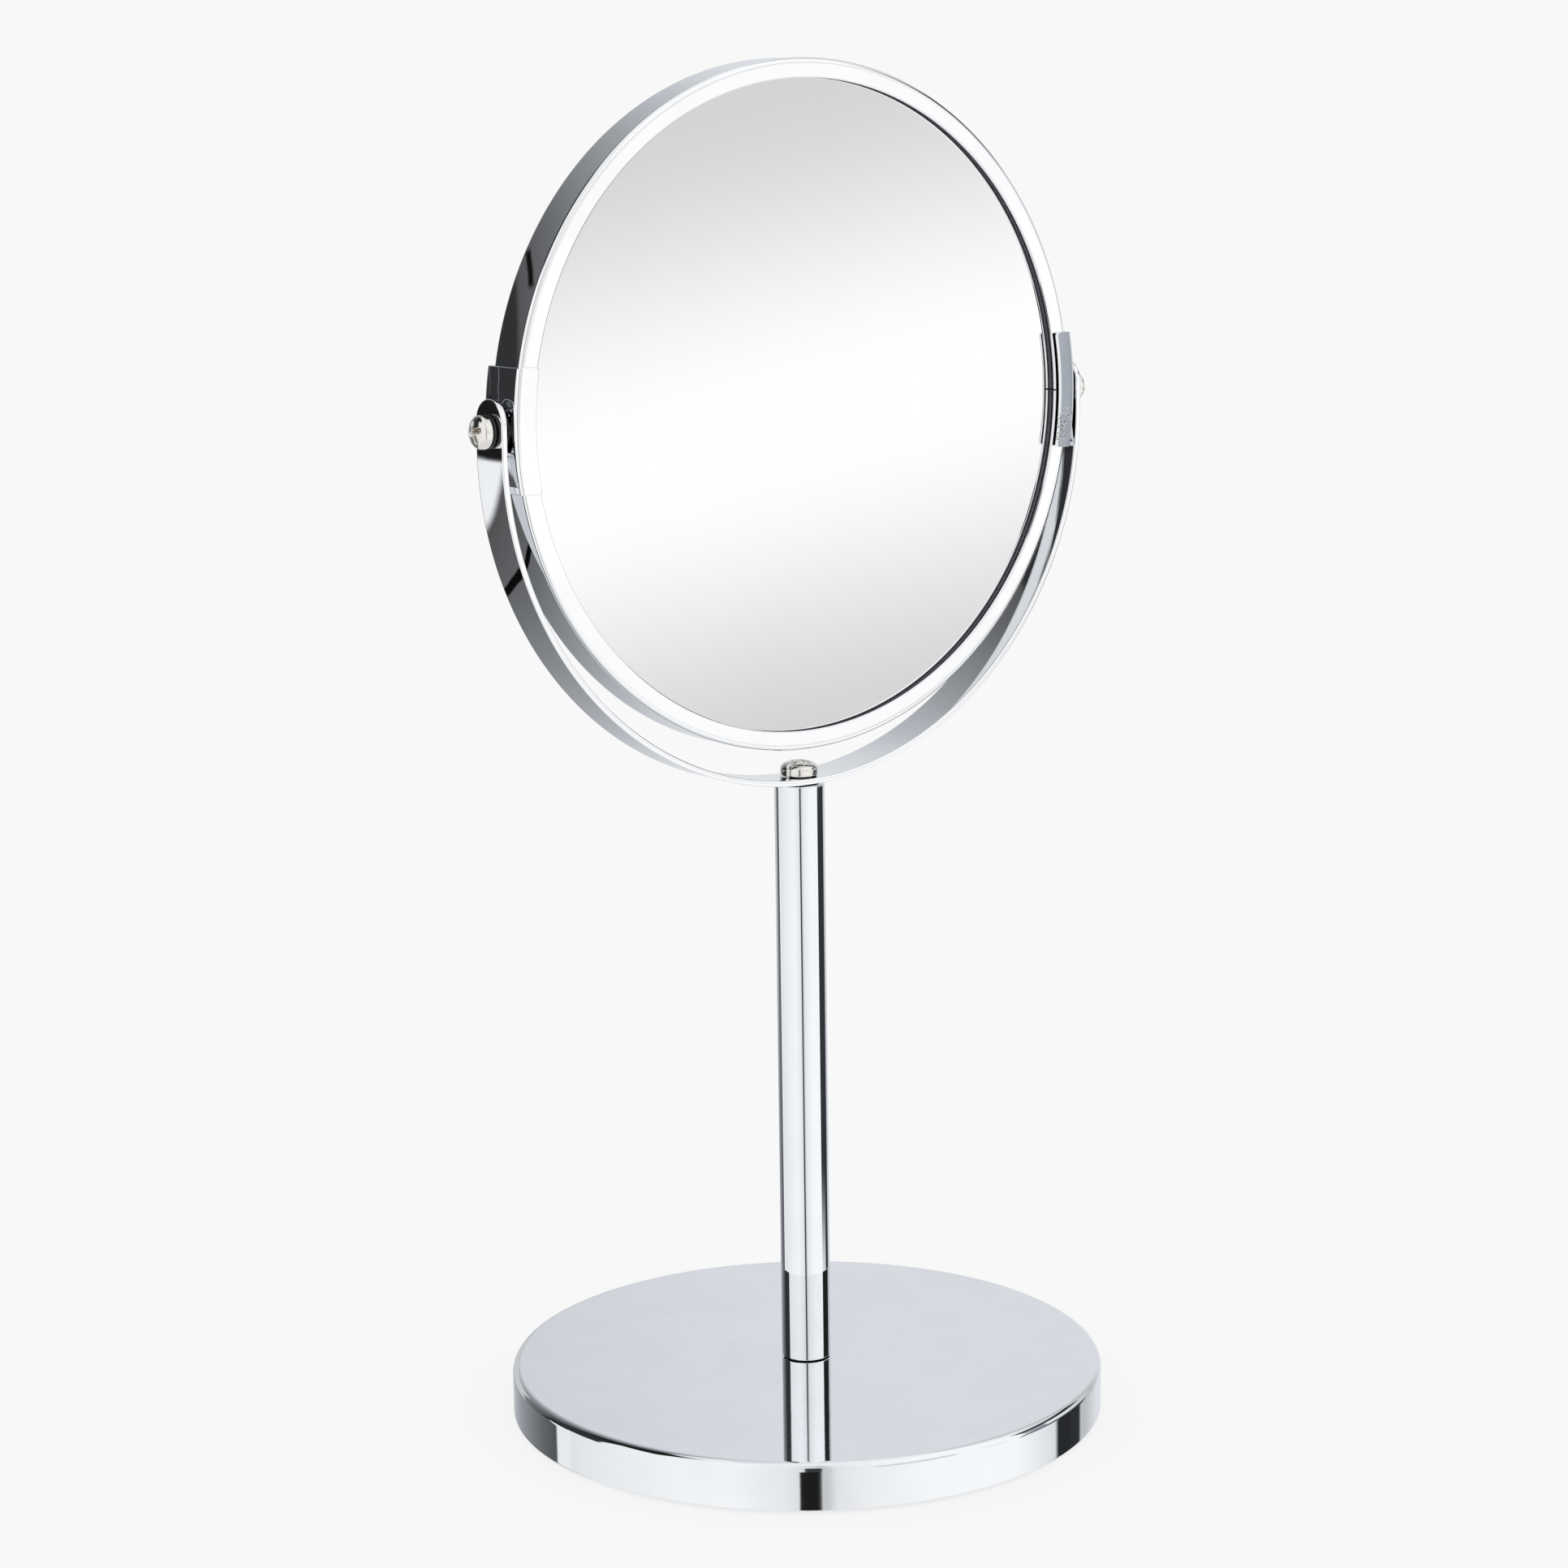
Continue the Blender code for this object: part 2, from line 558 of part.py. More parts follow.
def build_pivot(side_name, axis, side):
    """Screw, thin nut and two nylon washers of one pivot, all on the X axis."""
    turn = (0, 90 * side, 0)
    hole = PIVOT_SCREW["shank"] + GAP
    head_seat = YOKE_RADIUS + WASHER_THICKNESS + 2 * GAP
    build_cross_screw("pivot_screw_" + side_name, PIVOT_SCREW, axis, (side * head_seat, 0, 0),
                      (20 * side, 90 * side, 0))
    inner = sleeve("pivot_washer_inner_" + side_name, hole, 4.2, BOSS_FACE + GAP,
                   BOSS_FACE + GAP + WASHER_THICKNESS, NYLON)
    place(inner, axis, rotation=turn)
    outer = sleeve("pivot_washer_outer_" + side_name, hole, 4.0, YOKE_RADIUS + GAP,
                   YOKE_RADIUS + GAP + WASHER_THICKNESS, NYLON)
    place(outer, axis, rotation=turn)
    build_pivot_nut("pivot_nut_" + side_name, axis, side)


def build_pivot_nut(name, axis, side):
    """Thin hexagon nut in the gap between the half rings, under the clip."""
    across_flats = 7.0
    inner = GLASS_RADIUS + GAP
    outer = CLIP_INNER - GAP
    mesh = bpy.data.meshes.new(name)
    shape = bmesh.new()
    radius = across_flats / 2 / math.cos(math.radians(30)) * MM
    bmesh.ops.create_cone(shape, cap_ends=True, segments=6, radius1=radius, radius2=radius,
                          depth=(outer - inner) * MM)
    shape.to_mesh(mesh)
    shape.free()
    mesh.materials.append(STEEL)
    nut = bpy.data.objects.new(name, mesh)
    PARTS.objects.link(nut)
    middle = side * (inner + outer) / 2
    place(nut, axis, (middle, 0, 0), (0, 90, 0))
    hole = PIVOT_SCREW["shank"] + GAP
    combine(nut, pin_cutter(name + "_hole", hole, 6.0, axis, (middle, 0, 0), (0, 90, 0)))


def main():
    build_base_cover()
    build_base_weight()
    build_base_pad()
    build_column_bolt()
    build_column()
    build_tube_bush()
    slide_axis = make_axis("extension_axis", (0, 0, 0))
    build_rod(slide_axis)
    build_rod_fittings(slide_axis)
    swivel_axis = make_axis("swivel_axis", (0, 0, YOKE_UNDERSIDE), slide_axis)
    build_yoke(swivel_axis)
    build_yoke_fixing(swivel_axis)
    tilt_axis = make_axis("tilt_axis", (0, 0, PIVOT_HEIGHT - YOKE_UNDERSIDE), swivel_axis)
    build_half_ring("ring_upper", tilt_axis, 1)
    build_half_ring("ring_lower", tilt_axis, -1)
    build_plain_mirror(tilt_axis)
    build_magnifying_mirror(tilt_axis)
    build_spacer(tilt_axis)
    for side_name, side in (("left", -1), ("right", 1)):
        build_clip("clip_" + side_name, tilt_axis, side)
        build_pivot(side_name, tilt_axis, side)
    for obj in [piece for piece in PARTS.objects if piece.type == "MESH"]:
        set_shape(obj)


main()
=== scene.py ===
"""Extendable shaving mirror: the visual model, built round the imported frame.

The mirror's lengths are in millimetres, and MM turns them into metres; the lights and the floor
are in metres. "Left" and "right" are as seen from the front.
The column stands on the Z axis, the head tilts about X and its plain mirror looks along -Y.
"""
import json
import math
from collections import defaultdict

import bmesh
import bpy
from mathutils import Matrix, Vector


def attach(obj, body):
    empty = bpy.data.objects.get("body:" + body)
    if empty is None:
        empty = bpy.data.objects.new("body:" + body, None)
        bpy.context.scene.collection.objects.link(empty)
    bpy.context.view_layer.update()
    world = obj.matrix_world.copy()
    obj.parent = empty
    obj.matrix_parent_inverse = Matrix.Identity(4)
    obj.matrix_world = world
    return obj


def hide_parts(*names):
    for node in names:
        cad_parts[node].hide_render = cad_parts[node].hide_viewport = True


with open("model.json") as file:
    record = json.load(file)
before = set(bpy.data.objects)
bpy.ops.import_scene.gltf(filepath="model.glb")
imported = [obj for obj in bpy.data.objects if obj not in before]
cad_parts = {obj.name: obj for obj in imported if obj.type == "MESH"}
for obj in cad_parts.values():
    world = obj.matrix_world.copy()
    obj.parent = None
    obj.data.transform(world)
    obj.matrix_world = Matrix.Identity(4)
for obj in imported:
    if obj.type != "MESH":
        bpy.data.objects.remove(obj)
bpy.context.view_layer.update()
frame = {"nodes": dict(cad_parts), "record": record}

MM = 0.001
BODY_OF = {node: body for body, nodes in frame["record"]["behaviour"]["bodies"].items()
           for node in nodes}

# ---- sizes of the frame's solids --------------------------------------------------------------
BASE_RADIUS, BASE_HEIGHT, BASE_WALL, BASE_CORNER, BASE_RIM = 76.2, 12.5, 1.0, 2.0, 0.5
PAD_RADIUS, PAD_THICKNESS = 73.2, 1.9
BOLT_HOLE = 3.3
TUBE_RADIUS, TUBE_BORE, TUBE_FOOT, TUBE_TOP = 6.35, 5.15, 12.8, 163.8
ROD_RADIUS, ROD_BOTTOM, ROD_TOP = 4.3, 28.0, 162.9
ROD_NECK = 3.6
ROD_NECKS = ((29.3, 38.5), (39.8, 41.3))
ROD_TAPPED, ROD_TAPPED_DEPTH = 2.8, 13.0
BUSH_BOTTOM, BUSH_TOP, BUSH_RIB, BUSH_INNER, BUSH_OUTER = 141.3, 162.6, 150.4, 4.38, 5.07
PIVOT = 258.0
RING_RADIUS, RING_DEPTH, RING_CHANNEL, RING_BEAD = 84.8, 6.0, 83.9, 1.1
LIP_INNER, LIP_SEAT, RING_JOINT, NUT_NOTCH = 80.0, 4.3, 0.2, 4.0
GLASS_RADIUS, GLASS_FRONT, GLASS_BACK = 82.4, 4.0, 2.1
MAGNIFIER_RIM, MAGNIFIER_THICKNESS, MAGNIFIER_CURVE = 4.0, 1.8, 850.0
CLIP_RADIUS, CLIP_LIP, CLIP_MOUTH, CLIP_BEND = 85.5, 6.7, 80.3, 0.8
CLIP_SHEET, CLIP_REACH, BOSS_RISE = 0.8, 14.8, 0.4
BOSS_HEIGHT, BOSS_WIDTH, CLIP_HOLE = 7.5, 5.85, 2.3
CLIP_LEAN = {-1: 0.03, 1: 0.13}     # how far the flanges of each clip stand off the lips
YOKE_RADIUS, YOKE_CENTRE, YOKE_SHEET, YOKE_WIDTH = 88.15, 253.0, 1.5, 11.5
YOKE_END, YOKE_PIVOT_HOLE, YOKE_CENTRE_HOLE = 265.6, 2.08, 2.75
YOKE_HOLLOW, RING_HOLLOW = 0.06, 0.08
PIVOT_SCREW = {"shank": 2.0, "head": 4.0, "height": 3.1, "length": 7.1, "pitch": 0.7}
YOKE_SCREW = {"shank": 2.45, "head": 4.8, "height": 3.6, "length": 14.0, "pitch": 0.8}
PIVOT_HEAD_SEAT, YOKE_HEAD_SEAT = 90.0, 165.9
# washers as (hole radius, radius, bottom, top), measured along their own axis
YOKE_WASHER = (2.75, 4.6, 163.2, 163.8)
PIVOT_WASHER_INNER = (2.3, 4.2, 86.6, 87.1)
PIVOT_WASHER_OUTER = (2.3, 4.0, 89.2, 89.7)
SCREW_TURN, SCREW_STEPS, SCREW_NECK = math.radians(20), 192, -0.9


# ---- node helpers -----------------------------------------------------------------------------
def node(tree, kind, inputs=None, **settings):
    """Add a node. Inputs are given by name or place, as values or as sockets to link."""
    made = tree.nodes.new(kind)
    for key, value in settings.items():
        setattr(made, key, value)
    for key, value in (inputs or {}).items():
        socket = made.inputs[key]
        if isinstance(value, bpy.types.NodeSocket):
            tree.links.new(value, socket)
        else:
            socket.default_value = value
    return made


def math_node(tree, operation, *values):
    return node(tree, "ShaderNodeMath", dict(enumerate(values)), operation=operation).outputs[0]


def remap(tree, value, low, high, out_low=0.0, out_high=1.0):
    """A smooth step from out_low at low to out_high at high."""
    made = node(tree, "ShaderNodeMapRange",
                {"Value": value, "From Min": low, "From Max": high,
                 "To Min": out_low, "To Max": out_high})
    made.interpolation_type = "SMOOTHSTEP"
    return made.outputs["Result"]


def mix_colour(tree, factor, first, second):
    made = node(tree, "ShaderNodeMix", data_type="RGBA")
    for place, value in ((0, factor), (6, first), (7, second)):
        socket = made.inputs[place]
        if isinstance(value, bpy.types.NodeSocket):
            tree.links.new(value, socket)
        elif place == 0:
            socket.default_value = value
        else:
            socket.default_value = (*value, 1.0)
    return made.outputs[2]


def object_position(tree, stretch=(1, 1, 1)):
    """The point on the piece in millimetres, stretched by axis."""
    where = node(tree, "ShaderNodeTexCoord").outputs["Object"]
    mapping = node(tree, "ShaderNodeMapping", {"Vector": where})
    mapping.inputs["Scale"].default_value = [value / MM for value in stretch]
    return mapping.outputs["Vector"]


def noise(tree, vector, scale=1.0, detail=2.0, roughness=0.5, distortion=0.0):
    made = node(tree, "ShaderNodeTexNoise",
                {"Vector": vector, "Scale": scale, "Detail": detail, "Roughness": roughness,
                 "Distortion": distortion})
    return made.outputs["Fac"]


def tone(value):
    """Linear light of a display level from 0 to 255."""
    level = value / 255
    return level / 12.92 if level <= 0.04045 else ((level + 0.055) / 1.055) ** 2.4


# ---- materials --------------------------------------------------------------------------------
LINE_RELIEF, SCRATCH_RELIEF, PIT_DEPTH = 0.00004, 0.00015, 0.15
PIT_COLOUR = (0.07, 0.07, 0.08)
# levels from the pivot between which the pits start, thicken and stop, and the clip's front face
PITS_START, PITS_THICK, PITS_THIN, PITS_STOP = -0.5, -7.0, -12.6, -13.6
PITS_BEHIND, PITS_FRONT = -6.97, -7.05


def new_material(name):
    material = bpy.data.materials.new(name)
    material.use_nodes = True
    tree = material.node_tree
    return material, tree, tree.nodes["Principled BSDF"]


def grain_vector(tree, grain):
    """Coordinates in which polishing lines run: round the axis, along it, or at random."""
    if grain == "spun":
        place = node(tree, "ShaderNodeSeparateXYZ", {0: object_position(tree)})
        x, y, z = place.outputs
        radius = math_node(tree, "SQRT", math_node(tree, "ADD", math_node(tree, "MULTIPLY", x, x),
                                                   math_node(tree, "MULTIPLY", y, y)))
        turn = math_node(tree, "ARCTAN2", y, x)
        return node(tree, "ShaderNodeCombineXYZ",
                    {0: math_node(tree, "MULTIPLY", radius, 9.0),
                     1: math_node(tree, "MULTIPLY", turn, 6.0),
                     2: math_node(tree, "MULTIPLY", z, 9.0)}).outputs[0]
    if grain == "drawn":
        return object_position(tree, stretch=(7.0, 7.0, 0.12))
    return object_position(tree, stretch=(2.2, 5.0, 1.4))


def metal(name, colour, roughness, grain="sheet", haze=0.03, scratch=0.05, waviness=0.0015,
          wave_scale=0.22, variation=0.03, grime_and_shade_colour=None, pitted=False):
    """Polished plating: faint smears, polishing lines, hair scratches and a slight waviness.

    The recess colour darkens the points that are marked, such as the floor of a recess: partly
    grime, partly painted shade that deepens with the recess. Pitted plating has small dark pits
    over the lower front of the piece."""
    material, tree, shader = new_material(name)
    place = object_position(tree)
    smear = noise(tree, place, 0.06, 3.0, 0.55, 0.6)
    lines = noise(tree, grain_vector(tree, grain), 1.0, 3.0, 0.6)
    hair = noise(tree, object_position(tree, stretch=(0.35, 6.0, 2.3)), 1.0, 4.0, 0.7, 1.2)
    scratches = remap(tree, hair, 0.66, 0.74)
    rough = math_node(tree, "ADD", roughness, math_node(tree, "MULTIPLY", smear, haze))
    rough = math_node(tree, "ADD", rough, math_node(tree, "MULTIPLY", scratches, scratch))
    rough = math_node(tree, "ADD", rough,
                      math_node(tree, "MULTIPLY", remap(tree, lines, 0.5, 0.8), haze * 0.6))
    tree.links.new(rough, shader.inputs["Roughness"])
    darker = [value * (1 - variation) for value in colour]
    spotted = mix_colour(tree, remap(tree, smear, 0.3, 0.7), darker, colour)
    if pitted:
        pits, depth = plating_pits(tree)
        spotted = mix_colour(tree, math_node(tree, "MULTIPLY", pits, 0.85), spotted,
                             PIT_COLOUR)
    if grime_and_shade_colour:
        # marked points darken towards a recess's floor: painted shade by depth, with a brownish
        # grime tint
        mark = node(tree, "ShaderNodeAttribute", attribute_name="mark").outputs["Fac"]
        grime_and_shade = math_node(tree, "MULTIPLY", mark, remap(tree, lines, 0.2, 0.6, 0.6, 1.0))
        spotted = mix_colour(tree, grime_and_shade, spotted, grime_and_shade_colour)
    tree.links.new(spotted, shader.inputs["Base Color"])
    shader.inputs["Metallic"].default_value = 1.0
    wave = noise(tree, place, wave_scale, 1.0)
    height = math_node(tree, "MULTIPLY", wave, waviness)
    height = math_node(tree, "ADD", height, math_node(tree, "MULTIPLY", lines, LINE_RELIEF))
    height = math_node(tree, "SUBTRACT", height,
                       math_node(tree, "MULTIPLY", scratches, SCRATCH_RELIEF))
    if pitted:
        height = math_node(tree, "SUBTRACT", height, depth)
    bump = node(tree, "ShaderNodeBump", {"Height": height, "Strength": 1.0, "Distance": MM})
    tree.links.new(bump.outputs[0], shader.inputs["Normal"])
    return material


def plating_pits(tree):
    """Pits on the lower front of the right clip: where they are, and their depth in mm."""
    where = node(tree, "ShaderNodeTexCoord").outputs["Object"]
    _, y, z = node(tree, "ShaderNodeSeparateXYZ", {0: where}).outputs
    level = math_node(tree, "MULTIPLY_ADD", z, 1 / MM, -PIVOT)
    low = math_node(tree, "MULTIPLY", remap(tree, level, PITS_START, PITS_THICK),
                    remap(tree, level, PITS_STOP, PITS_THIN))
    front = remap(tree, y, PITS_BEHIND * MM, PITS_FRONT * MM)
    grain = noise(tree, object_position(tree), 1.9, 3.0, 0.6)
    least = math_node(tree, "SUBTRACT", 0.70, math_node(tree, "MULTIPLY", low, 0.19))
    pits = remap(tree, math_node(tree, "SUBTRACT", grain, least), 0.0, 0.10)
    pits = math_node(tree, "MULTIPLY", pits, math_node(tree, "MULTIPLY", low, front))
    return pits, math_node(tree, "MULTIPLY", pits, PIT_DEPTH)


def dull(name, colour, roughness, mottle, scale, bump_height, metallic=0.0):
    """Cast, moulded or pressed stuff with a grain of its own."""
    material, tree, shader = new_material(name)
    place = object_position(tree)
    coarse = noise(tree, place, scale, 5.0, 0.6)
    fine = noise(tree, place, scale * 7, 3.0, 0.7)
    darker = [value * (1 - mottle) for value in colour]
    tree.links.new(mix_colour(tree, remap(tree, coarse, 0.3, 0.7), darker, colour),
                   shader.inputs["Base Color"])
    rough = math_node(tree, "ADD", roughness - 0.06, math_node(tree, "MULTIPLY", fine, 0.12))
    tree.links.new(rough, shader.inputs["Roughness"])
    shader.inputs["Metallic"].default_value = metallic
    height = math_node(tree, "ADD", math_node(tree, "MULTIPLY", coarse, 0.6), fine)
    bump = node(tree, "ShaderNodeBump",
                {"Height": height, "Strength": 0.8, "Distance": bump_height * MM})
    tree.links.new(bump.outputs[0], shader.inputs["Normal"])
    return material


CHROME_TINT = (0.90, 0.92, 0.945)
SHEET_TINT = (0.95, 0.957, 0.968)
CHROME = metal("chrome_sheet", SHEET_TINT, 0.006, haze=0.012, scratch=0.05,
               waviness=0.006, wave_scale=0.16)
CHROME_BENT = metal("chrome_bent", SHEET_TINT, 0.006, haze=0.012, scratch=0.05,
                    waviness=0.06, wave_scale=0.05)
CHROME_PRESSED = metal("chrome_pressed", SHEET_TINT, 0.006, haze=0.03, scratch=0.06,
                       waviness=0.02, wave_scale=0.16)
CHROME_PITTED = metal("chrome_pitted", SHEET_TINT, 0.006, haze=0.03, scratch=0.06,
                      waviness=0.02, wave_scale=0.16, pitted=True)
CHROME_SPUN = metal("chrome_spun", CHROME_TINT, 0.02, "spun", haze=0.03, scratch=0.06,
                    waviness=0.006, wave_scale=0.12)
CHROME_DRAWN = metal("chrome_drawn", CHROME_TINT, 0.008, "drawn", haze=0.012, waviness=0.0004,
                     wave_scale=0.15)
# the darker brown colour in the cross recesses is grime and painted shade
NICKEL = metal("nickel_plate", (0.88, 0.86, 0.82), 0.07, haze=0.08, scratch=0.10,
               waviness=0.004, wave_scale=0.5, variation=0.08, grime_and_shade_colour=(0.46, 0.43, 0.39))
STEEL = metal("plain_steel", (0.55, 0.56, 0.58), 0.28, "drawn", haze=0.12, scratch=0.1,
              waviness=0.002, wave_scale=0.8, variation=0.2)
# dark unplated steel, which also stands in as painted shade in the lip's undercut beside the
# glass
RAW_STEEL_AND_SHADE = dull("raw_steel_and_shade", (0.15, 0.155, 0.18), 0.55, 0.15, 0.8, 0.004, metallic=0.25)
BRASS = metal("turned_brass", (0.78, 0.62, 0.33), 0.2, "spun", haze=0.1, scratch=0.1,
              waviness=0.002, wave_scale=0.8, variation=0.15)
IRON = dull("cast_iron", (0.10, 0.10, 0.11), 0.7, 0.45, 0.8, 0.12, metallic=0.6)
NYLON = dull("black_nylon", (0.025, 0.025, 0.027), 0.42, 0.3, 1.2, 0.01)
ACETAL = dull("white_acetal", (0.84, 0.84, 0.81), 0.4, 0.06, 0.8, 0.008)
FOAM = dull("foam_pad", (0.045, 0.046, 0.05), 0.9, 0.4, 1.6, 0.18)
CARD = dull("spacer_card", (0.46, 0.42, 0.37), 0.88, 0.18, 1.1, 0.05)


def mirror_material():
    """Silvering under clear glass: faint dust and wipe marks over a perfect reflection."""
    material, tree, shader = new_material("silvered_glass")
    place = object_position(tree)
    dust = remap(tree, noise(tree, place, 1.1, 4.0, 0.7), 0.72, 0.80)
    wipe = noise(tree, object_position(tree, stretch=(0.05, 0.05, 0.02)), 1.0, 3.0, 0.5, 1.0)
    rough = math_node(tree, "ADD", math_node(tree, "MULTIPLY", dust, 0.02),
                      math_node(tree, "MULTIPLY", wipe, 0.008))
    tree.links.new(rough, shader.inputs["Roughness"])
    tree.links.new(mix_colour(tree, wipe, (0.928, 0.928, 0.928), (0.948, 0.948, 0.948)),
                   shader.inputs["Base Color"])
    shader.inputs["Metallic"].default_value = 1.0
    return material


def glass_edge_material():
    """Ground edge of the glass: greenish and matt."""
    material, tree, shader = new_material("glass_edge")
    grain = noise(tree, object_position(tree), 2.0, 4.0, 0.6)
    tree.links.new(mix_colour(tree, grain, (0.16, 0.24, 0.21), (0.30, 0.40, 0.36)),
                   shader.inputs["Base Color"])
    tree.links.new(remap(tree, grain, 0.0, 1.0, 0.25, 0.5), shader.inputs["Roughness"])
    return material


MIRROR = mirror_material()
GLASS_EDGE = glass_edge_material()


# ---- mesh helpers -----------------------------------------------------------------------------
def make_piece(node_name, points, faces, material, sharp=35, face_material=None,
               marks=None):
    """A finished piece that stands for a CAD node: its mesh, shading and body.

    marks is a value for each point that its material reads as the attribute "mark"."""
    name = node_name + "_visual"
    mesh = bpy.data.meshes.new(name)
    mesh.from_pydata([[value * MM for value in point] for point in points], [], faces)
    if marks:
        mesh.attributes.new("mark", "FLOAT", "POINT").data.foreach_set("value", marks)
    materials = material if isinstance(material, (list, tuple)) else [material]
    for item in materials:
        mesh.materials.append(item)
    if face_material:
        for polygon in mesh.polygons:
            polygon.material_index = face_material(polygon.center / MM)
    shape = bmesh.new()
    shape.from_mesh(mesh)
    bmesh.ops.remove_doubles(shape, verts=shape.verts, dist=2e-7)
    bmesh.ops.dissolve_degenerate(shape, edges=shape.edges, dist=1e-8)
    bmesh.ops.recalc_face_normals(shape, faces=shape.faces)
    shape.to_mesh(mesh)
    shape.free()
    mesh.shade_smooth()
    mesh.set_sharp_from_angle(angle=math.radians(sharp))
    piece = bpy.data.objects.new(name, mesh)
    bpy.context.scene.collection.objects.link(piece)
    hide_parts(node_name)
    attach(piece, BODY_OF[node_name])
    return piece


def rounded(corners, closed=False, support=0.08, step=9.0):
    """Outline through (x, y, fillet) corners, with a support point beside each fillet."""
    points = []
    count = len(corners)
    for index, (x, y, fillet) in enumerate(corners):
        here = Vector((x, y))
        if fillet <= 0 or (not closed and index in (0, count - 1)):
            points.append((x, y))
            continue
        before = Vector(corners[index - 1][:2]) - here
        after = Vector(corners[(index + 1) % count][:2]) - here
        room = min(before.length, after.length)
        before.normalize()
        after.normalize()
        turn = math.pi - before.angle(after)
        tangent = fillet * math.tan(turn / 2)
        start, end = here + before * tangent, here + after * tangent
        inward = (before + after).normalized()
        centre = here + inward * (fillet / math.cos(turn / 2))
        slack = min(support, (room - tangent) * 0.3)
        if slack > 0.001:
            points.append(tuple(start + before * slack))
        pieces = max(2, math.ceil(math.degrees(turn) / step))
        first, last = start - centre, end - centre
        for part in range(pieces + 1):
            share = part / pieces
            way = (math.sin((1 - share) * turn) * first + math.sin(share * turn) * last)
            points.append(tuple(centre + way / math.sin(turn)))
        if slack > 0.001:
            points.append(tuple(end + after * slack))
    return points


def dense(points, gap):
    """The same outline with no two points further apart than gap."""
    result = [points[0]]
    for (x0, y0), (x1, y1) in zip(points, points[1:]):
        parts = max(1, math.ceil(math.hypot(x1 - x0, y1 - y0) / gap))
        result += [(x0 + (x1 - x0) * k / parts, y0 + (y1 - y0) * k / parts)
                   for k in range(1, parts + 1)]
    return result


def about_column(radius, height, angle):
    return radius * math.cos(angle), radius * math.sin(angle), height


def about_head(radius, height, angle):
    """Turned about the head's own axis: height is measured towards the plain mirror's front."""
    return radius * math.cos(angle), -height, PIVOT + radius * math.sin(angle)


def about_pivot(side):
    def place(radius, height, angle):
        return (side * height, side * radius * math.sin(angle),
                PIVOT + radius * math.cos(angle))
    return place


def grid_faces(rows, columns, wrap_rows=False, wrap_columns=False):
    faces = []
    for row in range(rows if wrap_rows else rows - 1):
        for column in range(columns if wrap_columns else columns - 1):
            below, beside = (row + 1) % rows, (column + 1) % columns
            faces.append((row * columns + column, row * columns + beside,
                          below * columns + beside, below * columns + column))
    return faces


def lathe(profile, place, steps, closed=False, shift=None):
    """Points and faces of a turned shape. shift moves a point by (radius, height, angle)."""
    points = []
    for step in range(steps):
        angle = math.tau * step / steps
        for radius, height in profile:
            if shift:
                radius, height = shift(radius, height, angle)
            points.append(place(radius, height, angle))
    return points, grid_faces(steps, len(profile), True, closed)


def part_lathe(profile, place, steps, ends):
    """A closed section turned part of the way round, with flat ends."""
    points = []
    for step in range(steps + 1):
        share = step / steps
        for radius, height in profile:
            low, high = ends(radius)
            points.append(place(radius, height, low + (high - low) * share))
    count = len(profile)
    faces = grid_faces(steps + 1, count, False, True)
    faces.append(tuple(range(count)))
    faces.append(tuple(range(steps * count, (steps + 1) * count)))
    return points, faces


def ring_patch(hole, outline, fractions):
    """Rings of points from a round hole (x, y, radius) to an outline, as a welded patch."""
    x0, y0, radius = hole
    rings = []
    for share in fractions:
        ring = []
        for x, y in outline:
            angle = math.atan2(y - y0, x - x0)
            start = (x0 + radius * math.cos(angle), y0 + radius * math.sin(angle))
            ring.append((start[0] + (x - start[0]) * share, start[1] + (y - start[1]) * share))
        rings.append(ring)
    points = [point for ring in rings for point in ring]
    return points, grid_faces(len(rings), len(outline), False, True)


def grid_patch(columns, rows):
    points = [(x, y) for y in rows for x in columns]
    return points, grid_faces(len(rows), len(columns))


def weld(patches):
    """Join flat patches along the points that they share."""
    index, points, faces = {}, [], []
    for patch_points, patch_faces in patches:
        names = []
        for x, y in patch_points:
            key = (round(x, 4), round(y, 4))
            if key not in index:
                index[key] = len(points)
                points.append((x, y))
            names.append(index[key])
        for face in patch_faces:
            made = tuple(names[item] for item in face)
            if len(set(made)) == len(made):
                area = sum(points[a][0] * points[b][1] - points[b][0] * points[a][1]
                           for a, b in zip(made, made[1:] + made[:1]))
                faces.append(made if area > 0 else made[::-1])
    return points, faces


def sheet_solid(points, faces, half, fillet, shape, steps=5):
    """Sheet metal from a flat welded face: two skins joined by rounded edges.

    The flat face is drawn smaller than the finished sheet by the fillet."""
    used = defaultdict(int)
    for face in faces:
        for edge in zip(face, face[1:] + face[:1]):
            used[edge] += 1
    border = [edge for edge in used if (edge[1], edge[0]) not in used]
    outward = defaultdict(lambda: Vector((0.0, 0.0)))
    for a, b in border:
        along = (Vector(points[b]) - Vector(points[a])).normalized()
        side = Vector((along.y, -along.x))
        outward[a] += side
        outward[b] += side
    solid = [shape(x, y, half) for x, y in points] + [shape(x, y, -half) for x, y in points]
    count = len(points)
    result = list(faces) + [tuple(item + count for item in reversed(face)) for face in faces]
    rows = []
    for layer in (1, -1):
        for step in range(1, steps + 1):
            angle = math.pi / 2 * (step if layer > 0 else steps + 1 - step) / steps
            height = half - fillet * (1 - math.cos(angle))
            rows.append((fillet * math.sin(angle), layer * height))
    columns = {}
    for a in outward:
        side = outward[a].normalized()
        x, y = points[a]
        column = [a]
        for reach, height in rows:
            column.append(len(solid))
            solid.append(shape(x + side.x * reach, y + side.y * reach, height))
        columns[a] = column + [a + count]
    for a, b in border:
        for (a0, a1), (b0, b1) in zip(zip(columns[a], columns[a][1:]),
                                      zip(columns[b], columns[b][1:])):
            result.append((a0, a1, b1, b0))
    return solid, result


def with_supports(low, high, parts, support=0.12):
    """Even steps from low to high with a support step beside each end."""
    inner = [low + (high - low) * k / parts for k in range(1, parts)]
    return [low, low + support, *inner, high - support, high]


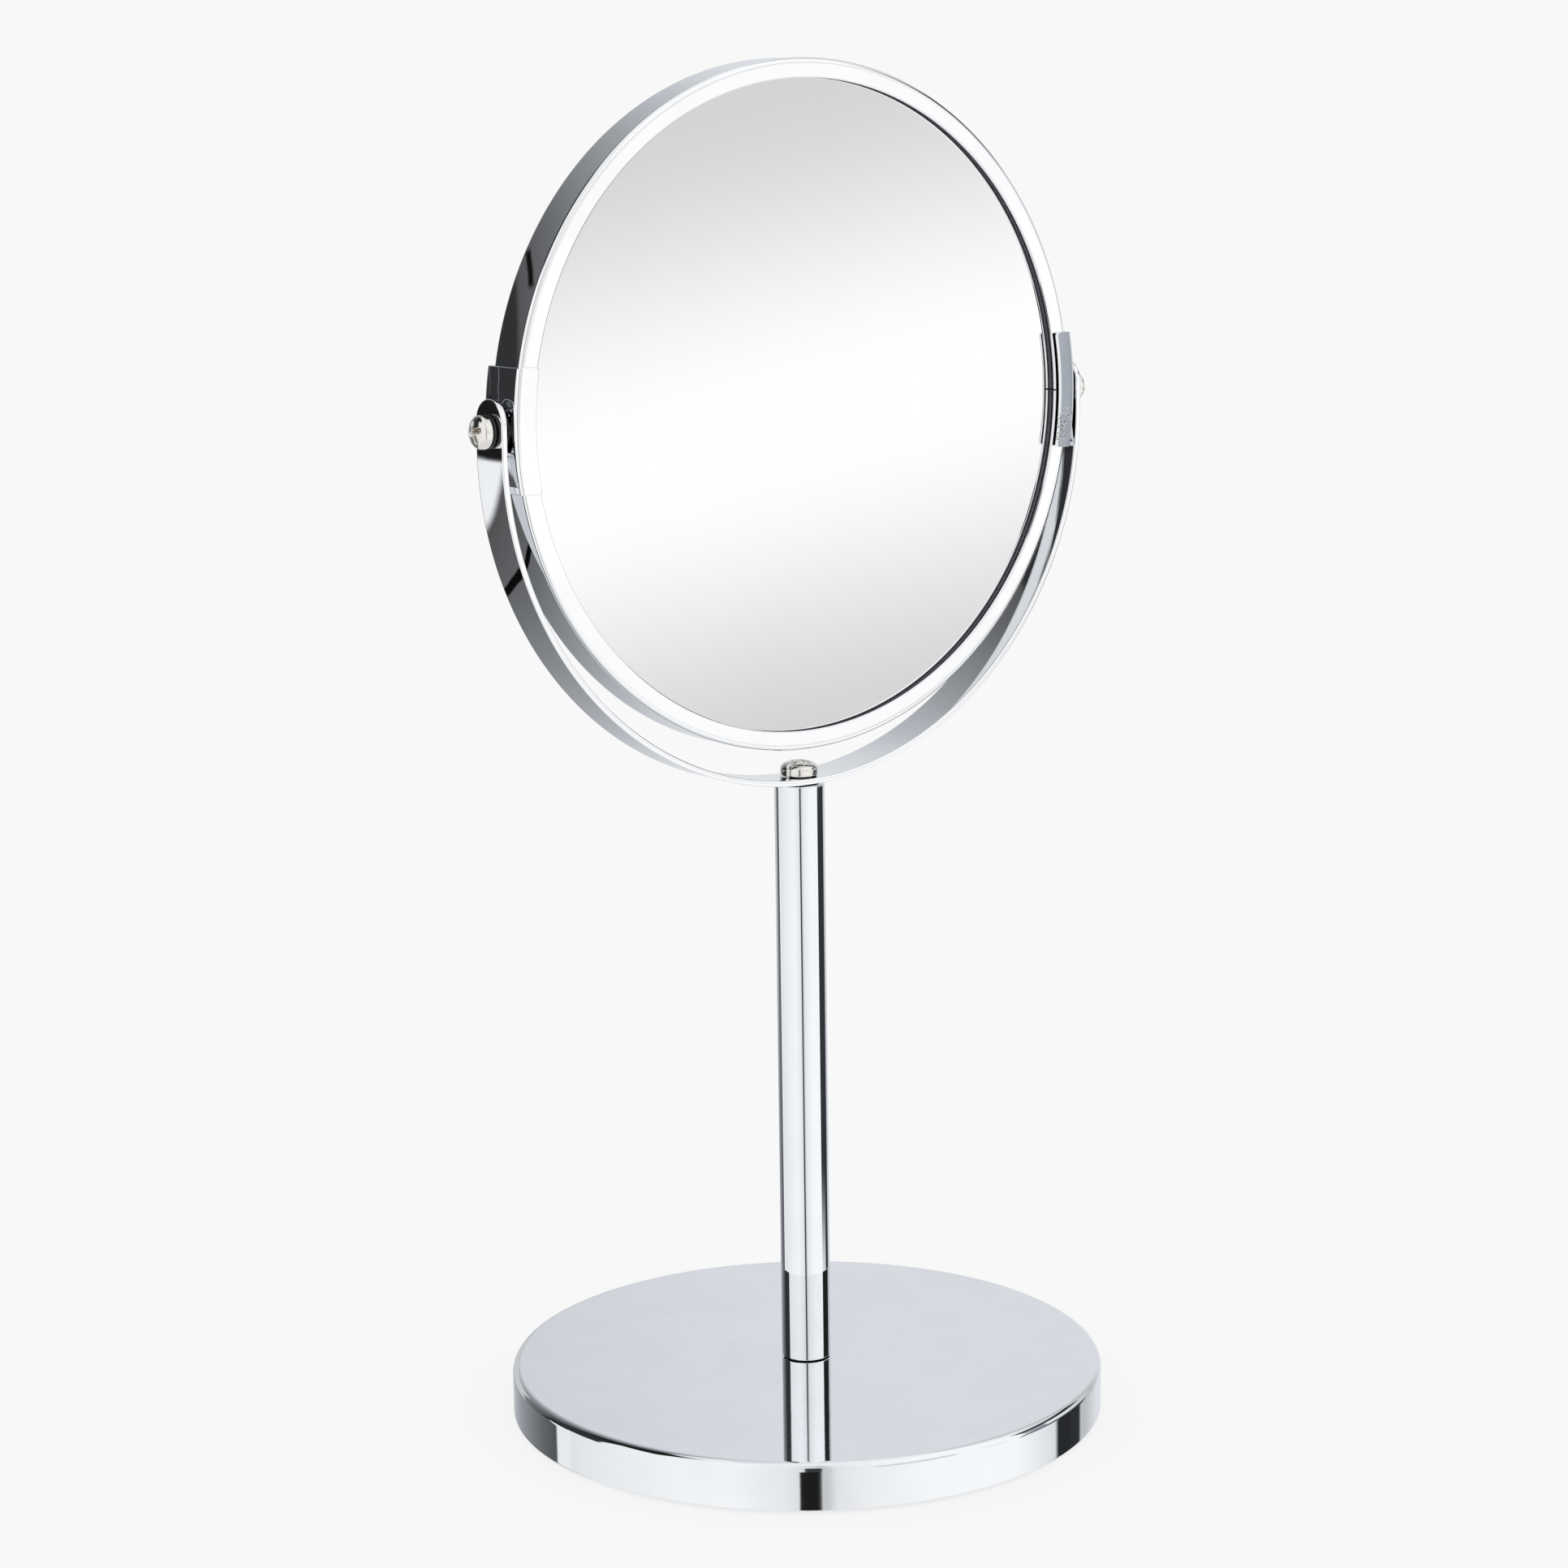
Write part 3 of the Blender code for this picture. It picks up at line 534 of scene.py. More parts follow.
# ---- base -------------------------------------------------------------------------------------
def build_base():
    under = BASE_HEIGHT - BASE_WALL
    profile = rounded([
        (BOLT_HOLE, BASE_HEIGHT, 0), (BASE_RADIUS, BASE_HEIGHT, BASE_CORNER),
        (BASE_RADIUS, BASE_RIM, 0.3), (BASE_RADIUS - BASE_WALL, BASE_RIM, 0.3),
        (BASE_RADIUS - BASE_WALL, under, BASE_CORNER - BASE_WALL), (BOLT_HOLE, under, 0),
    ], closed=True, step=5)
    points, faces = lathe(profile, about_column, 384, closed=True)
    make_piece("base_cover", points, faces, CHROME_SPUN)
    profile = rounded([(0, PAD_THICKNESS, 0), (PAD_RADIUS, PAD_THICKNESS, 0.3),
                       (PAD_RADIUS, 0, 0.5), (0, 0, 0)])
    points, faces = lathe(profile, about_column, 256)
    make_piece("base_pad", points, faces, FOAM)


# ---- column -----------------------------------------------------------------------------------
def build_column():
    rib = 0.35
    profile = rounded([
        (TUBE_BORE, TUBE_TOP, 0.15), (TUBE_RADIUS, TUBE_TOP, 0.4), (TUBE_RADIUS, TUBE_FOOT, 0.2),
        (TUBE_BORE, TUBE_FOOT, 0.1), (TUBE_BORE, BUSH_RIB - 1, 0.1),
        (TUBE_BORE + rib, BUSH_RIB - 1, 0.1), (TUBE_BORE + rib, BUSH_RIB + 1, 0.1),
        (TUBE_BORE, BUSH_RIB + 1, 0.1),
    ], closed=True)
    points, faces = lathe(profile, about_column, 160, closed=True)
    make_piece("column_tube", points, faces, CHROME_DRAWN)

    slit = 0.6
    profile = rounded([
        (BUSH_INNER, BUSH_TOP, 0.1), (BUSH_OUTER, BUSH_TOP, 0.15),
        (BUSH_OUTER, BUSH_RIB + 0.7, 0.1), (BUSH_OUTER + 0.25, BUSH_RIB + 0.7, 0.1),
        (BUSH_OUTER + 0.25, BUSH_RIB - 0.7, 0.1), (BUSH_OUTER, BUSH_RIB - 0.7, 0.1),
        (BUSH_OUTER, BUSH_BOTTOM, 0.15), (BUSH_INNER, BUSH_BOTTOM, 0.1),
    ], closed=True)

    def ends(radius):
        edge = math.asin(slit / radius)
        return edge, math.tau - edge
    points, faces = part_lathe(profile, about_column, 96, ends)
    make_piece("tube_bush", points, faces, ACETAL)

    corners = [(0, ROD_BOTTOM, 0), (ROD_RADIUS, ROD_BOTTOM, 0.5)]
    for low, high in ROD_NECKS:
        corners += [(ROD_RADIUS, low, 0.1), (ROD_NECK, low, 0.1), (ROD_NECK, high, 0.1),
                    (ROD_RADIUS, high, 0.1)]
    corners += [(ROD_RADIUS, ROD_TOP, 0.3), (ROD_TAPPED, ROD_TOP, 0.2),
                (ROD_TAPPED, ROD_TOP - ROD_TAPPED_DEPTH, 0), (0, ROD_TOP - ROD_TAPPED_DEPTH, 0)]
    points, faces = lathe(rounded(corners), about_column, 128)
    make_piece("inner_rod", points, faces, CHROME_DRAWN)


# ---- screws and washers -----------------------------------------------------------------------
def soft_step(value, low, high):
    share = min(1.0, max(0.0, (value - low) / (high - low)))
    return share * share * (3 - 2 * share)


def recess_depth(x, y, head, height):
    """Depth of a cross recess: four tapering arms that deepen towards the middle."""
    reach, half, floor = head * 0.72, head * 0.15, height * 0.60
    deepest = 0.0
    for along, across in ((abs(x), abs(y)), (abs(y), abs(x))):
        slope = soft_step(reach - along, 0.0, reach * 0.6)
        width = half * (0.8 + 0.45 * soft_step(-along, -reach * 0.4, 0.0))
        wall = 1 - soft_step(across, width * 0.55, width * 1.45)
        deepest = max(deepest, floor * slope * wall)
    return deepest


def screw_shape(size, seat, place, turn):
    """Pan-head screw: crowned head, cross recess and a cut thread on the shank."""
    shank, head, height = size["shank"], size["head"], size["height"]
    length, pitch = size["length"], size["pitch"]
    edge = height * 0.42
    crown = [(0.0, height)]
    for index in range(1, 73):
        share = index / 72
        radius = head * math.sin(share * math.pi / 2) ** 0.92
        rise = max(0.0, 1 - (radius / head) ** 2.5) ** 0.5
        crown.append((radius, edge + (height - edge) * rise))
    side = rounded([(head, edge, 0), (head, 0, 0.35), (shank, 0, 0.15),
                    (shank, SCREW_NECK, 0)])
    turns = (length - 1.4) / pitch
    thread = [(shank, SCREW_NECK - k * pitch / 8) for k in range(1, int(turns * 8))]
    tip = [(shank * 0.75, 0.05 - length), (shank * 0.55, -length), (0, -length)]
    profile = dense(crown, 0.09) + side[1:] + thread + tip
    run_out = -length + 0.5

    def shift(radius, level, angle):
        if level > edge and radius < head * 0.99:
            x, y = radius * math.cos(angle + turn), radius * math.sin(angle + turn)
            return radius, level - recess_depth(x, y, head, height)
        if run_out < level < SCREW_NECK:
            phase = (level / pitch - angle / math.tau) % 1.0
            return radius - pitch * 0.5 * abs(2 * phase - 1), level
        return radius, level

    def lifted(radius, level, angle):
        return place(radius, seat + level, angle)
    points, faces = lathe(profile, lifted, SCREW_STEPS, shift=shift)
    # marks: how deep each point lies in the cross recess, which the material turns into painted
    # shade and grime
    marks = []
    for step in range(SCREW_STEPS):
        angle = math.tau * step / SCREW_STEPS + turn
        for radius, level in profile:
            sunk = recess_depth(radius * math.cos(angle), radius * math.sin(angle), head, height)
            marks.append(min(1.0, sunk / height * 2.2) if level > edge else 0.0)
    return points, faces, marks


def washer(node_name, place, inner, outer, bottom, top):
    profile = rounded([(inner, bottom, 0.1), (outer, bottom, 0.14), (outer, top, 0.14),
                       (inner, top, 0.1)], closed=True, step=15)
    points, faces = lathe(profile, place, 64, closed=True)
    make_piece(node_name, points, faces, NYLON)


def build_screws():
    points, faces, marks = screw_shape(YOKE_SCREW, YOKE_HEAD_SEAT, about_column, -SCREW_TURN)
    make_piece("yoke_screw", points, faces, NICKEL, marks=marks)
    washer("yoke_washer", about_column, *YOKE_WASHER)
    for side_name, side in (("left", -1), ("right", 1)):
        place = about_pivot(side)
        points, faces, marks = screw_shape(PIVOT_SCREW, PIVOT_HEAD_SEAT, place, SCREW_TURN)
        make_piece("pivot_screw_" + side_name, points, faces, NICKEL, marks=marks)
        washer("pivot_washer_inner_" + side_name, place, *PIVOT_WASHER_INNER)
        washer("pivot_washer_outer_" + side_name, place, *PIVOT_WASHER_OUTER)


# ---- yoke -------------------------------------------------------------------------------------
def yoke_shape(across, along, height):
    """Bend the flat band: along is measured from the middle of its length, up the right arm.

    Bending leaves the outer face slightly hollow across its width."""
    quarter = YOKE_RADIUS * math.pi / 2
    height += YOKE_HOLLOW * ((across * 2 / YOKE_WIDTH) ** 2 - 1)
    if abs(along) <= quarter:
        angle = along / YOKE_RADIUS
        radius = YOKE_RADIUS + height
        return radius * math.sin(angle), across, YOKE_CENTRE - radius * math.cos(angle)
    side = math.copysign(1, along)
    return side * (YOKE_RADIUS + height), across, YOKE_CENTRE + abs(along) - quarter


def build_yoke():
    fillet = 0.34
    half = YOKE_WIDTH / 2 - fillet
    widths = with_supports(-half, half, 16)
    pivot = YOKE_RADIUS * math.pi / 2 + PIVOT - YOKE_CENTRE
    end = pivot + YOKE_END - PIVOT - YOKE_WIDTH / 2
    start = YOKE_RADIUS * math.pi / 2
    shares = (0, 0.03, 0.1, 0.25, 0.4, 0.55, 0.7, 0.85, 0.95, 0.98, 1)
    arm = [(x, start) for x in widths]
    arm += [(half, start + (end - start) * k / 8) for k in range(1, 8)]
    arm += [(half * math.cos(math.pi * k / 40), end + half * math.sin(math.pi * k / 40))
            for k in range(41)]
    arm += [(-half, end - (end - start) * k / 8) for k in range(1, 8)]
    patches = [ring_patch((0, pivot, YOKE_PIVOT_HOLE + 0.12), arm, shares)]
    patches.append(([(x, -y) for x, y in patches[0][0]], patches[0][1]))
    middle = 7.0                        # half length of the patch round the yoke's screw hole
    square = [(x, -middle) for x in widths]
    square += [(half, -middle + 2 * middle * k / 12) for k in range(1, 12)]
    square += [(x, middle) for x in reversed(widths)]
    square += [(-half, middle - 2 * middle * k / 12) for k in range(1, 12)]
    patches.append(ring_patch((0, 0, YOKE_CENTRE_HOLE + 0.12), square, shares))
    count = 110
    for side in (1, -1):
        rows = [side * (middle + (start - middle) * k / count) for k in range(count + 1)]
        patches.append(grid_patch(widths, rows))
    points, faces = weld(patches)
    points, faces = sheet_solid(points, faces, YOKE_SHEET / 2, fillet, yoke_shape)
    make_piece("yoke", points, faces, CHROME_BENT)


# ---- mirror head ------------------------------------------------------------------------------
def ring_profile():
    """Rolled frame: hollowed outer wall, bead at each corner and a lip that leans out.

    A faint crease lies beside the bead, and the lip's hem is undercut next to the glass."""
    lean, rise, hem, undercut = 0.21, 0.025, 0.9, 0.6
    crease = RING_RADIUS - RING_BEAD - 0.5
    front = [(LIP_INNER + undercut, LIP_SEAT, 0.05),
             (LIP_INNER + undercut, RING_DEPTH - hem, 0.05),
             (LIP_INNER, RING_DEPTH - hem, 0.2), (LIP_INNER, RING_DEPTH, 0.3),
             (crease, RING_DEPTH - lean, 0.3), (crease + 0.3, RING_DEPTH - lean + rise, 0.3),
             (RING_RADIUS, RING_DEPTH - lean + rise, RING_BEAD)]
    back = [(x, -y, fillet) for x, y, fillet in reversed(front)]
    channel = [(RING_CHANNEL, -LIP_SEAT, 0.1), (RING_CHANNEL, LIP_SEAT, 0.1)]
    outline = rounded(front + back + channel, closed=True, support=0.05, step=7)
    wall = RING_DEPTH - RING_BEAD
    result = []
    for index, (radius, height) in enumerate(outline):
        if radius > RING_RADIUS - 0.01 and abs(height) <= wall + 0.001:
            after = outline[index + 1]
            steps = 12 if height > 0.5 * wall and after[1] < -0.5 * wall else 1
            for step in range(steps):
                level = height + (after[1] - height) * step / steps
                hollow = RING_HOLLOW * (1 - (level / wall) ** 2)
                result.append((radius - hollow, level))
        else:
            result.append((radius, height))
    return result


def build_rings():
    """Each half's lips run up to the other half's; the wall between them clears the nut."""
    profile = ring_profile()
    for name, side in (("ring_upper", 1), ("ring_lower", -1)):
        def place(radius, height, angle, side=side):
            level = radius * math.sin(angle)
            notched = radius > RING_CHANNEL - 0.05 and abs(height) < LIP_SEAT - 0.05
            edge = NUT_NOTCH if notched else RING_JOINT
            if level < edge:
                across = math.copysign(math.sqrt(radius * radius - edge * edge), math.cos(angle))
                return across, -height, PIVOT + side * edge
            return (radius * math.cos(angle), -height, PIVOT + side * level)

        def ends(radius):
            edge = math.asin(RING_JOINT / radius)
            return edge, math.pi - edge
        points, faces = part_lathe(profile, place, 384, ends)

        # faces inside the rolled section and the hem's undercut get the dark steel: unplated
        # metal, and painted shade next to the glass
        def inside(centre):
            radius = math.hypot(centre.x, centre.z - PIVOT)
            depth = abs(centre.y)
            return 1 if depth < RING_DEPTH - 0.85 and radius < RING_RADIUS - 0.5 else 0
        make_piece(name, points, faces, [CHROME, RAW_STEEL_AND_SHADE], face_material=inside)


def build_mirrors():
    profile = rounded([(0, GLASS_FRONT, 0), (GLASS_RADIUS, GLASS_FRONT, 0.3),
                       (GLASS_RADIUS, GLASS_BACK, 0.15), (0, GLASS_BACK, 0)])
    points, faces = lathe(profile, about_head, 320)

    def side_of(centre):
        return 1 if math.hypot(centre.x, centre.z - PIVOT) > GLASS_RADIUS - 0.2 else 0
    make_piece("mirror_plain", points, faces, [MIRROR, GLASS_EDGE],
               face_material=side_of)
    middle = MAGNIFIER_RIM - GLASS_RADIUS ** 2 / (2 * MAGNIFIER_CURVE)
    radii = [GLASS_RADIUS * k / 60 for k in range(60)] + [GLASS_RADIUS - 0.15, GLASS_RADIUS]
    face = [(r, -(middle + r * r / (2 * MAGNIFIER_CURVE))) for r in radii]
    back = [(r, height + MAGNIFIER_THICKNESS) for r, height in reversed(face)]
    points, faces = lathe(face + back, about_head, 320)
    make_piece("mirror_magnifying", points, faces, [MIRROR, GLASS_EDGE],
               face_material=side_of)


def crease_height(across, reach):
    """Soft folds that run from a clip's upper end to its boss, as the pressing left them."""
    if reach < BOSS_HEIGHT - 1.0:
        return 0.0
    far = (reach - BOSS_HEIGHT) / (CLIP_REACH - BOSS_HEIGHT)
    fade = soft_step(reach, BOSS_HEIGHT - 1.0, BOSS_HEIGHT + 0.5)
    total = 0.0
    for middle, flare, height, width, wander in ((0.3, 0.8, 0.10, 0.26, 0.15),
                                                 (-3.5, -1.0, 0.018, 0.40, 0.05),
                                                 (3.9, 1.1, 0.030, 0.45, 0.07)):
        line = middle + flare * far + wander * math.sin(reach * (1.2 + 2 * height) + middle)
        total += height * math.exp(-((across - line) / width) ** 2)
    return total * fade


def clip_shape(side):
    straight = CLIP_LIP - CLIP_BEND
    bend = CLIP_BEND * math.pi / 2
    lean = CLIP_LEAN[side]

    def shape(u, v, height):
        reach = abs(u)
        sign = math.copysign(1, u)
        if reach <= straight:
            radius, y, out_r, out_y = CLIP_RADIUS, u, 1.0, 0.0
            far = math.hypot(v / BOSS_HEIGHT, u / BOSS_WIDTH)
            radius += BOSS_RISE * (1 - soft_step(far, 0.72, 1.0)) + crease_height(u, v)
        elif reach <= straight + bend:
            angle = (reach - straight) / CLIP_BEND
            out_r, out_y = math.cos(angle), sign * math.sin(angle)
            radius = CLIP_RADIUS - CLIP_BEND + CLIP_BEND * out_r
            y = sign * straight + CLIP_BEND * out_y
        else:
            flange = reach - straight - bend
            radius = CLIP_RADIUS - CLIP_BEND - flange
            y, out_r, out_y = sign * (CLIP_LIP + lean * flange), lean, sign
        radius += out_r * height
        y += out_y * height
        return side * math.sqrt(radius * radius - v * v), y, PIVOT + v
    return shape


def rounded_corner_grid(points, width, height, size):
    """Pull the corners of a flat rectangle in to quarter circles of the given size."""
    result = []
    for x, y in points:
        a, b = (abs(x) - (width - size)) / size, (abs(y) - (height - size)) / size
        if a > 0 and b > 0:
            new_a, new_b = a * math.sqrt(1 - b * b / 2), b * math.sqrt(1 - a * a / 2)
            x = math.copysign(width - size + size * new_a, x)
            y = math.copysign(height - size + size * new_b, y)
        result.append((x, y))
    return result


def spread(limits, gap):
    """Points through the limits in even steps no longer than gap."""
    values = [limits[0]]
    for low, high in zip(limits, limits[1:]):
        parts = max(1, math.ceil((high - low) / gap))
        values += [low + (high - low) * k / parts for k in range(1, parts + 1)]
    return values


def build_clips():
    fillet = 0.22
    straight = CLIP_LIP - CLIP_BEND
    bend = straight + CLIP_BEND * math.pi / 2
    edge = bend + CLIP_RADIUS - CLIP_BEND - CLIP_MOUTH - fillet
    top = CLIP_REACH - fillet
    box = 4.2                           # half size of the square patch round the clip's hole
    half_u = spread([0, box], 0.3) + [straight] + spread([straight, bend], 0.16)[1:]
    half_u = sorted(set(half_u + spread([box, straight], 0.3) + spread([bend, edge], 0.4)
                        + [edge - 0.1]))
    columns = [-value for value in reversed(half_u)] + half_u[1:]
    half_v = sorted(set(spread([0, box], 0.3) + spread([box, top], 0.4) + [top - 0.1]))
    rows = [-value for value in reversed(half_v)] + half_v[1:]
    outer = [value for value in columns if abs(value) <= box + 1e-6]
    inner_rows = [value for value in rows if abs(value) <= box + 1e-6]
    outline = [(x, -box) for x in outer] + [(box, y) for y in inner_rows[1:-1]]
    outline += [(x, box) for x in reversed(outer)]
    outline += [(-box, y) for y in reversed(inner_rows[1:-1])]
    shares = (0, 0.06, 0.2, 0.4, 0.6, 0.8, 1)
    patches = [ring_patch((0, 0, CLIP_HOLE + fillet), outline, shares)]
    low = [value for value in rows if value <= -box + 1e-6]
    high = [value for value in rows if value >= box - 1e-6]
    left = [value for value in columns if value <= -box + 1e-6]
    right = [value for value in columns if value >= box - 1e-6]
    patches += [grid_patch(columns, low), grid_patch(columns, high),
                grid_patch(left, inner_rows), grid_patch(right, inner_rows)]
    points, faces = weld(patches)
    points = rounded_corner_grid(points, edge, top, 0.9)
    for name, side, metal_used in (("clip_left", -1, CHROME_PRESSED),
                                   ("clip_right", 1, CHROME_PITTED)):
        solid, solid_faces = sheet_solid(points, faces, CLIP_SHEET / 2, fillet, clip_shape(side))
        make_piece(name, solid, solid_faces, metal_used, sharp=50)


# ---- CAD nodes that stay ----------------------------------------------------------------------
def dress_kept_nodes():
    kept = {"base_weight": IRON, "base_washer": STEEL, "base_lock_washer": STEEL,
            "column_bolt": STEEL, "column_insert": BRASS, "rod_guide": ACETAL,
            "rod_stop_ring": STEEL, "mirror_spacer": CARD, "pivot_nut_left": STEEL,
            "pivot_nut_right": STEEL}
    for name, material in kept.items():
        obj = frame["nodes"][name]
        if not obj.material_slots:
            obj.data.materials.append(material)
        for place in obj.material_slots:
            place.material = material


# ---- studio -----------------------------------------------------------------------------------
BACKDROP = tone(248)
GLASS_SEES = (-4.7, 5.4, 0.8)       # elevations: middle, half height and soft edge


class Surroundings:
    """The studio as polished metal sees it: a tone for every direction, with cards laid over.

    Azimuth 0 is in front of the plain mirror, and grows towards the right."""

    def __init__(self, tree):
        self.tree = tree
        where = node(tree, "ShaderNodeTexCoord").outputs["Generated"]
        x, y, z = node(tree, "ShaderNodeSeparateXYZ", {0: where}).outputs
        degrees = 180 / math.pi
        self.azimuth = math_node(tree, "MULTIPLY", math_node(
            tree, "ARCTAN2", x, math_node(tree, "MULTIPLY", y, -1.0)), degrees)
        self.elevation = math_node(tree, "MULTIPLY", math_node(tree, "ARCSINE", z), degrees)
        self.colour = self.level = None

    def sweep(self, stops):
        """Tones by azimuth, as (degrees, display level, blueness)."""
        ramp = node(self.tree, "ShaderNodeValToRGB",
                    {0: math_node(self.tree, "MULTIPLY_ADD", self.azimuth, 1 / 360, 0.5)})
        items = ramp.color_ramp.elements
        while len(items) < len(stops):
            items.new(0.5)
        for item, (degrees, level, blue) in zip(items, stops):
            item.position = degrees / 360 + 0.5
            light = tone(level)
            item.color = (light * (1 - blue), light * (1 - blue * 0.6), light, 1.0)
        self.colour = ramp.outputs[0]

    def window(self, value, middle, half, soft, around=False):
        """1 within half of the middle, 0 beyond the soft edge; around closes the circle."""
        away = math_node(self.tree, "ABSOLUTE", math_node(self.tree, "SUBTRACT", value, middle))
        if around:
            away = math_node(self.tree, "MINIMUM", away,
                             math_node(self.tree, "SUBTRACT", 360.0, away))
        return remap(self.tree, away, half, half + soft, 1.0, 0.0)

    def card(self, azimuth, elevation, level, soft=(3, 3), blue=0.0, tilted=False):
        """A soft-edged card: azimuth and elevation are (middle, half width) in degrees.

        A tilted card follows the sloping level, inside the band that the plain mirror sees."""
        height = self.level if tilted else self.elevation
        mask = math_node(self.tree, "MULTIPLY",
                         self.window(self.azimuth, *azimuth, soft[0], True),
                         self.window(height, *elevation, soft[1]))
        if tilted:
            mask = math_node(self.tree, "MULTIPLY", mask,
                             self.window(self.elevation, *GLASS_SEES))
        light = tone(level)
        shade = (light * (1 - blue), light * (1 - blue * 0.6), light)
        self.colour = mix_colour(self.tree, mask, self.colour, shade)


def build_world():
    world = bpy.data.worlds.new("studio")
    world.use_nodes = True
    bpy.context.scene.world = world
    tree = world.node_tree
    tree.nodes.clear()
    around = Surroundings(tree)
    around.sweep([(-180, 148, 0.10), (-163, 110, 0.08), (-152, 88, 0.06), (-147, 70, 0.04),
                  (-144.5, 236, 0.04), (-125, 243, 0.02), (-95, 250, 0.0), (-66, 255, 0.0),
                  (-46, 243, 0.01), (-38, 228, 0.03), (-30, 205, 0.03), (-26, 237, 0.0),
                  (-14, 247, 0.0), (-2, 253, 0.0), (8, 258, 0.0), (50, 258, 0.0),
                  (100, 196, 0.05), (116, 228, 0.04), (144, 230, 0.06), (158, 196, 0.10),
                  (170, 168, 0.10), (180, 148, 0.10)])
    # dark wall behind and to the left, with a lit panel at its foot
    around.card((-136, 14.5), (18, 21), 52, soft=(2, 2), blue=0.1)
    around.card((-127, 23), (50, 12), 32, soft=(4, 4))
    around.card((-147, 8), (-3.2, 3.0), 28, soft=(1, 0.6))
    around.card((-145.8, 4.0), (-16.7, 9.3), 246, soft=(1.6, 0.9), blue=0.03)
    # the opening between two panels behind the camera
    around.card((-35, 2.6), (-4, 30), 60, soft=(1.2, 6))
    around.card((-36.5, 3.2), (-22.5, 2.5), 30, soft=(0.8, 0.6))
    # black strip to the right
    around.card((71, 19.5), (-13.0, 4.0), 58, soft=(1.5, 2.5), blue=0.2)
    around.card((71, 19.5), (22, 6), 35, soft=(1.5, 2), blue=0.1)
    around.card((83, 6), (-24.5, 6), 45, soft=(3, 3), blue=0.15)
    around.card((91, 3), (-22, 12), 52, soft=(3, 1.5), blue=0.15)
    around.card((57.5, 5), (2, 11.5), 168, soft=(2.5, 2), blue=0.20)
    around.card((139.7, 2.2), (-10.6, 1.1), 16, soft=(0.5, 0.3))
    # broad window that the plain mirror sees: bright in the middle, grey above and below
    slope = math_node(tree, "MULTIPLY_ADD", around.azimuth, -0.25, 0.25 * 37 + 5.2)
    around.level = math_node(tree, "ADD", around.elevation, slope)
    around.card((22, 26), (0, 24), 262, soft=(10, 8), tilted=True)
    around.card((37.5, 4.5), (6.6, 1.1), 218, soft=(5, 5.2), tilted=True)
    around.card((37.5, 4.5), (-6.6, 1.1), 216, soft=(5, 5.2), tilted=True)
    around.card((4, 13), (5, 8), 222, soft=(6, 7))
    # the light floor and the ceiling
    around.card((0, 180), (-90, 47), 236, soft=(1, 6))
    around.card((0, 180), (90, 22), 246, soft=(1, 6))
    # a window straight behind, for the magnifying mirror
    around.card((172, 13), (2, 14), 205, soft=(5, 4))
    # streaks: a stand and its cable behind to the left
    around.card((-159.5, 0.6), (-26.0, 3.2), 12, soft=(0.4, 0.8))
    around.card((-156.0, 0.4), (23.5, 3.0), 20, soft=(0.9, 1.5))
    path = node(tree, "ShaderNodeLightPath").outputs
    seen = mix_colour(tree, path["Is Diffuse Ray"], around.colour, (1.0, 1.0, 1.0))
    seen = mix_colour(tree, path["Is Camera Ray"], seen, (BACKDROP,) * 3)
    background = node(tree, "ShaderNodeBackground", {"Color": seen, "Strength": 1.0})
    output = node(tree, "ShaderNodeOutputWorld")
    tree.links.new(background.outputs[0], output.inputs["Surface"])


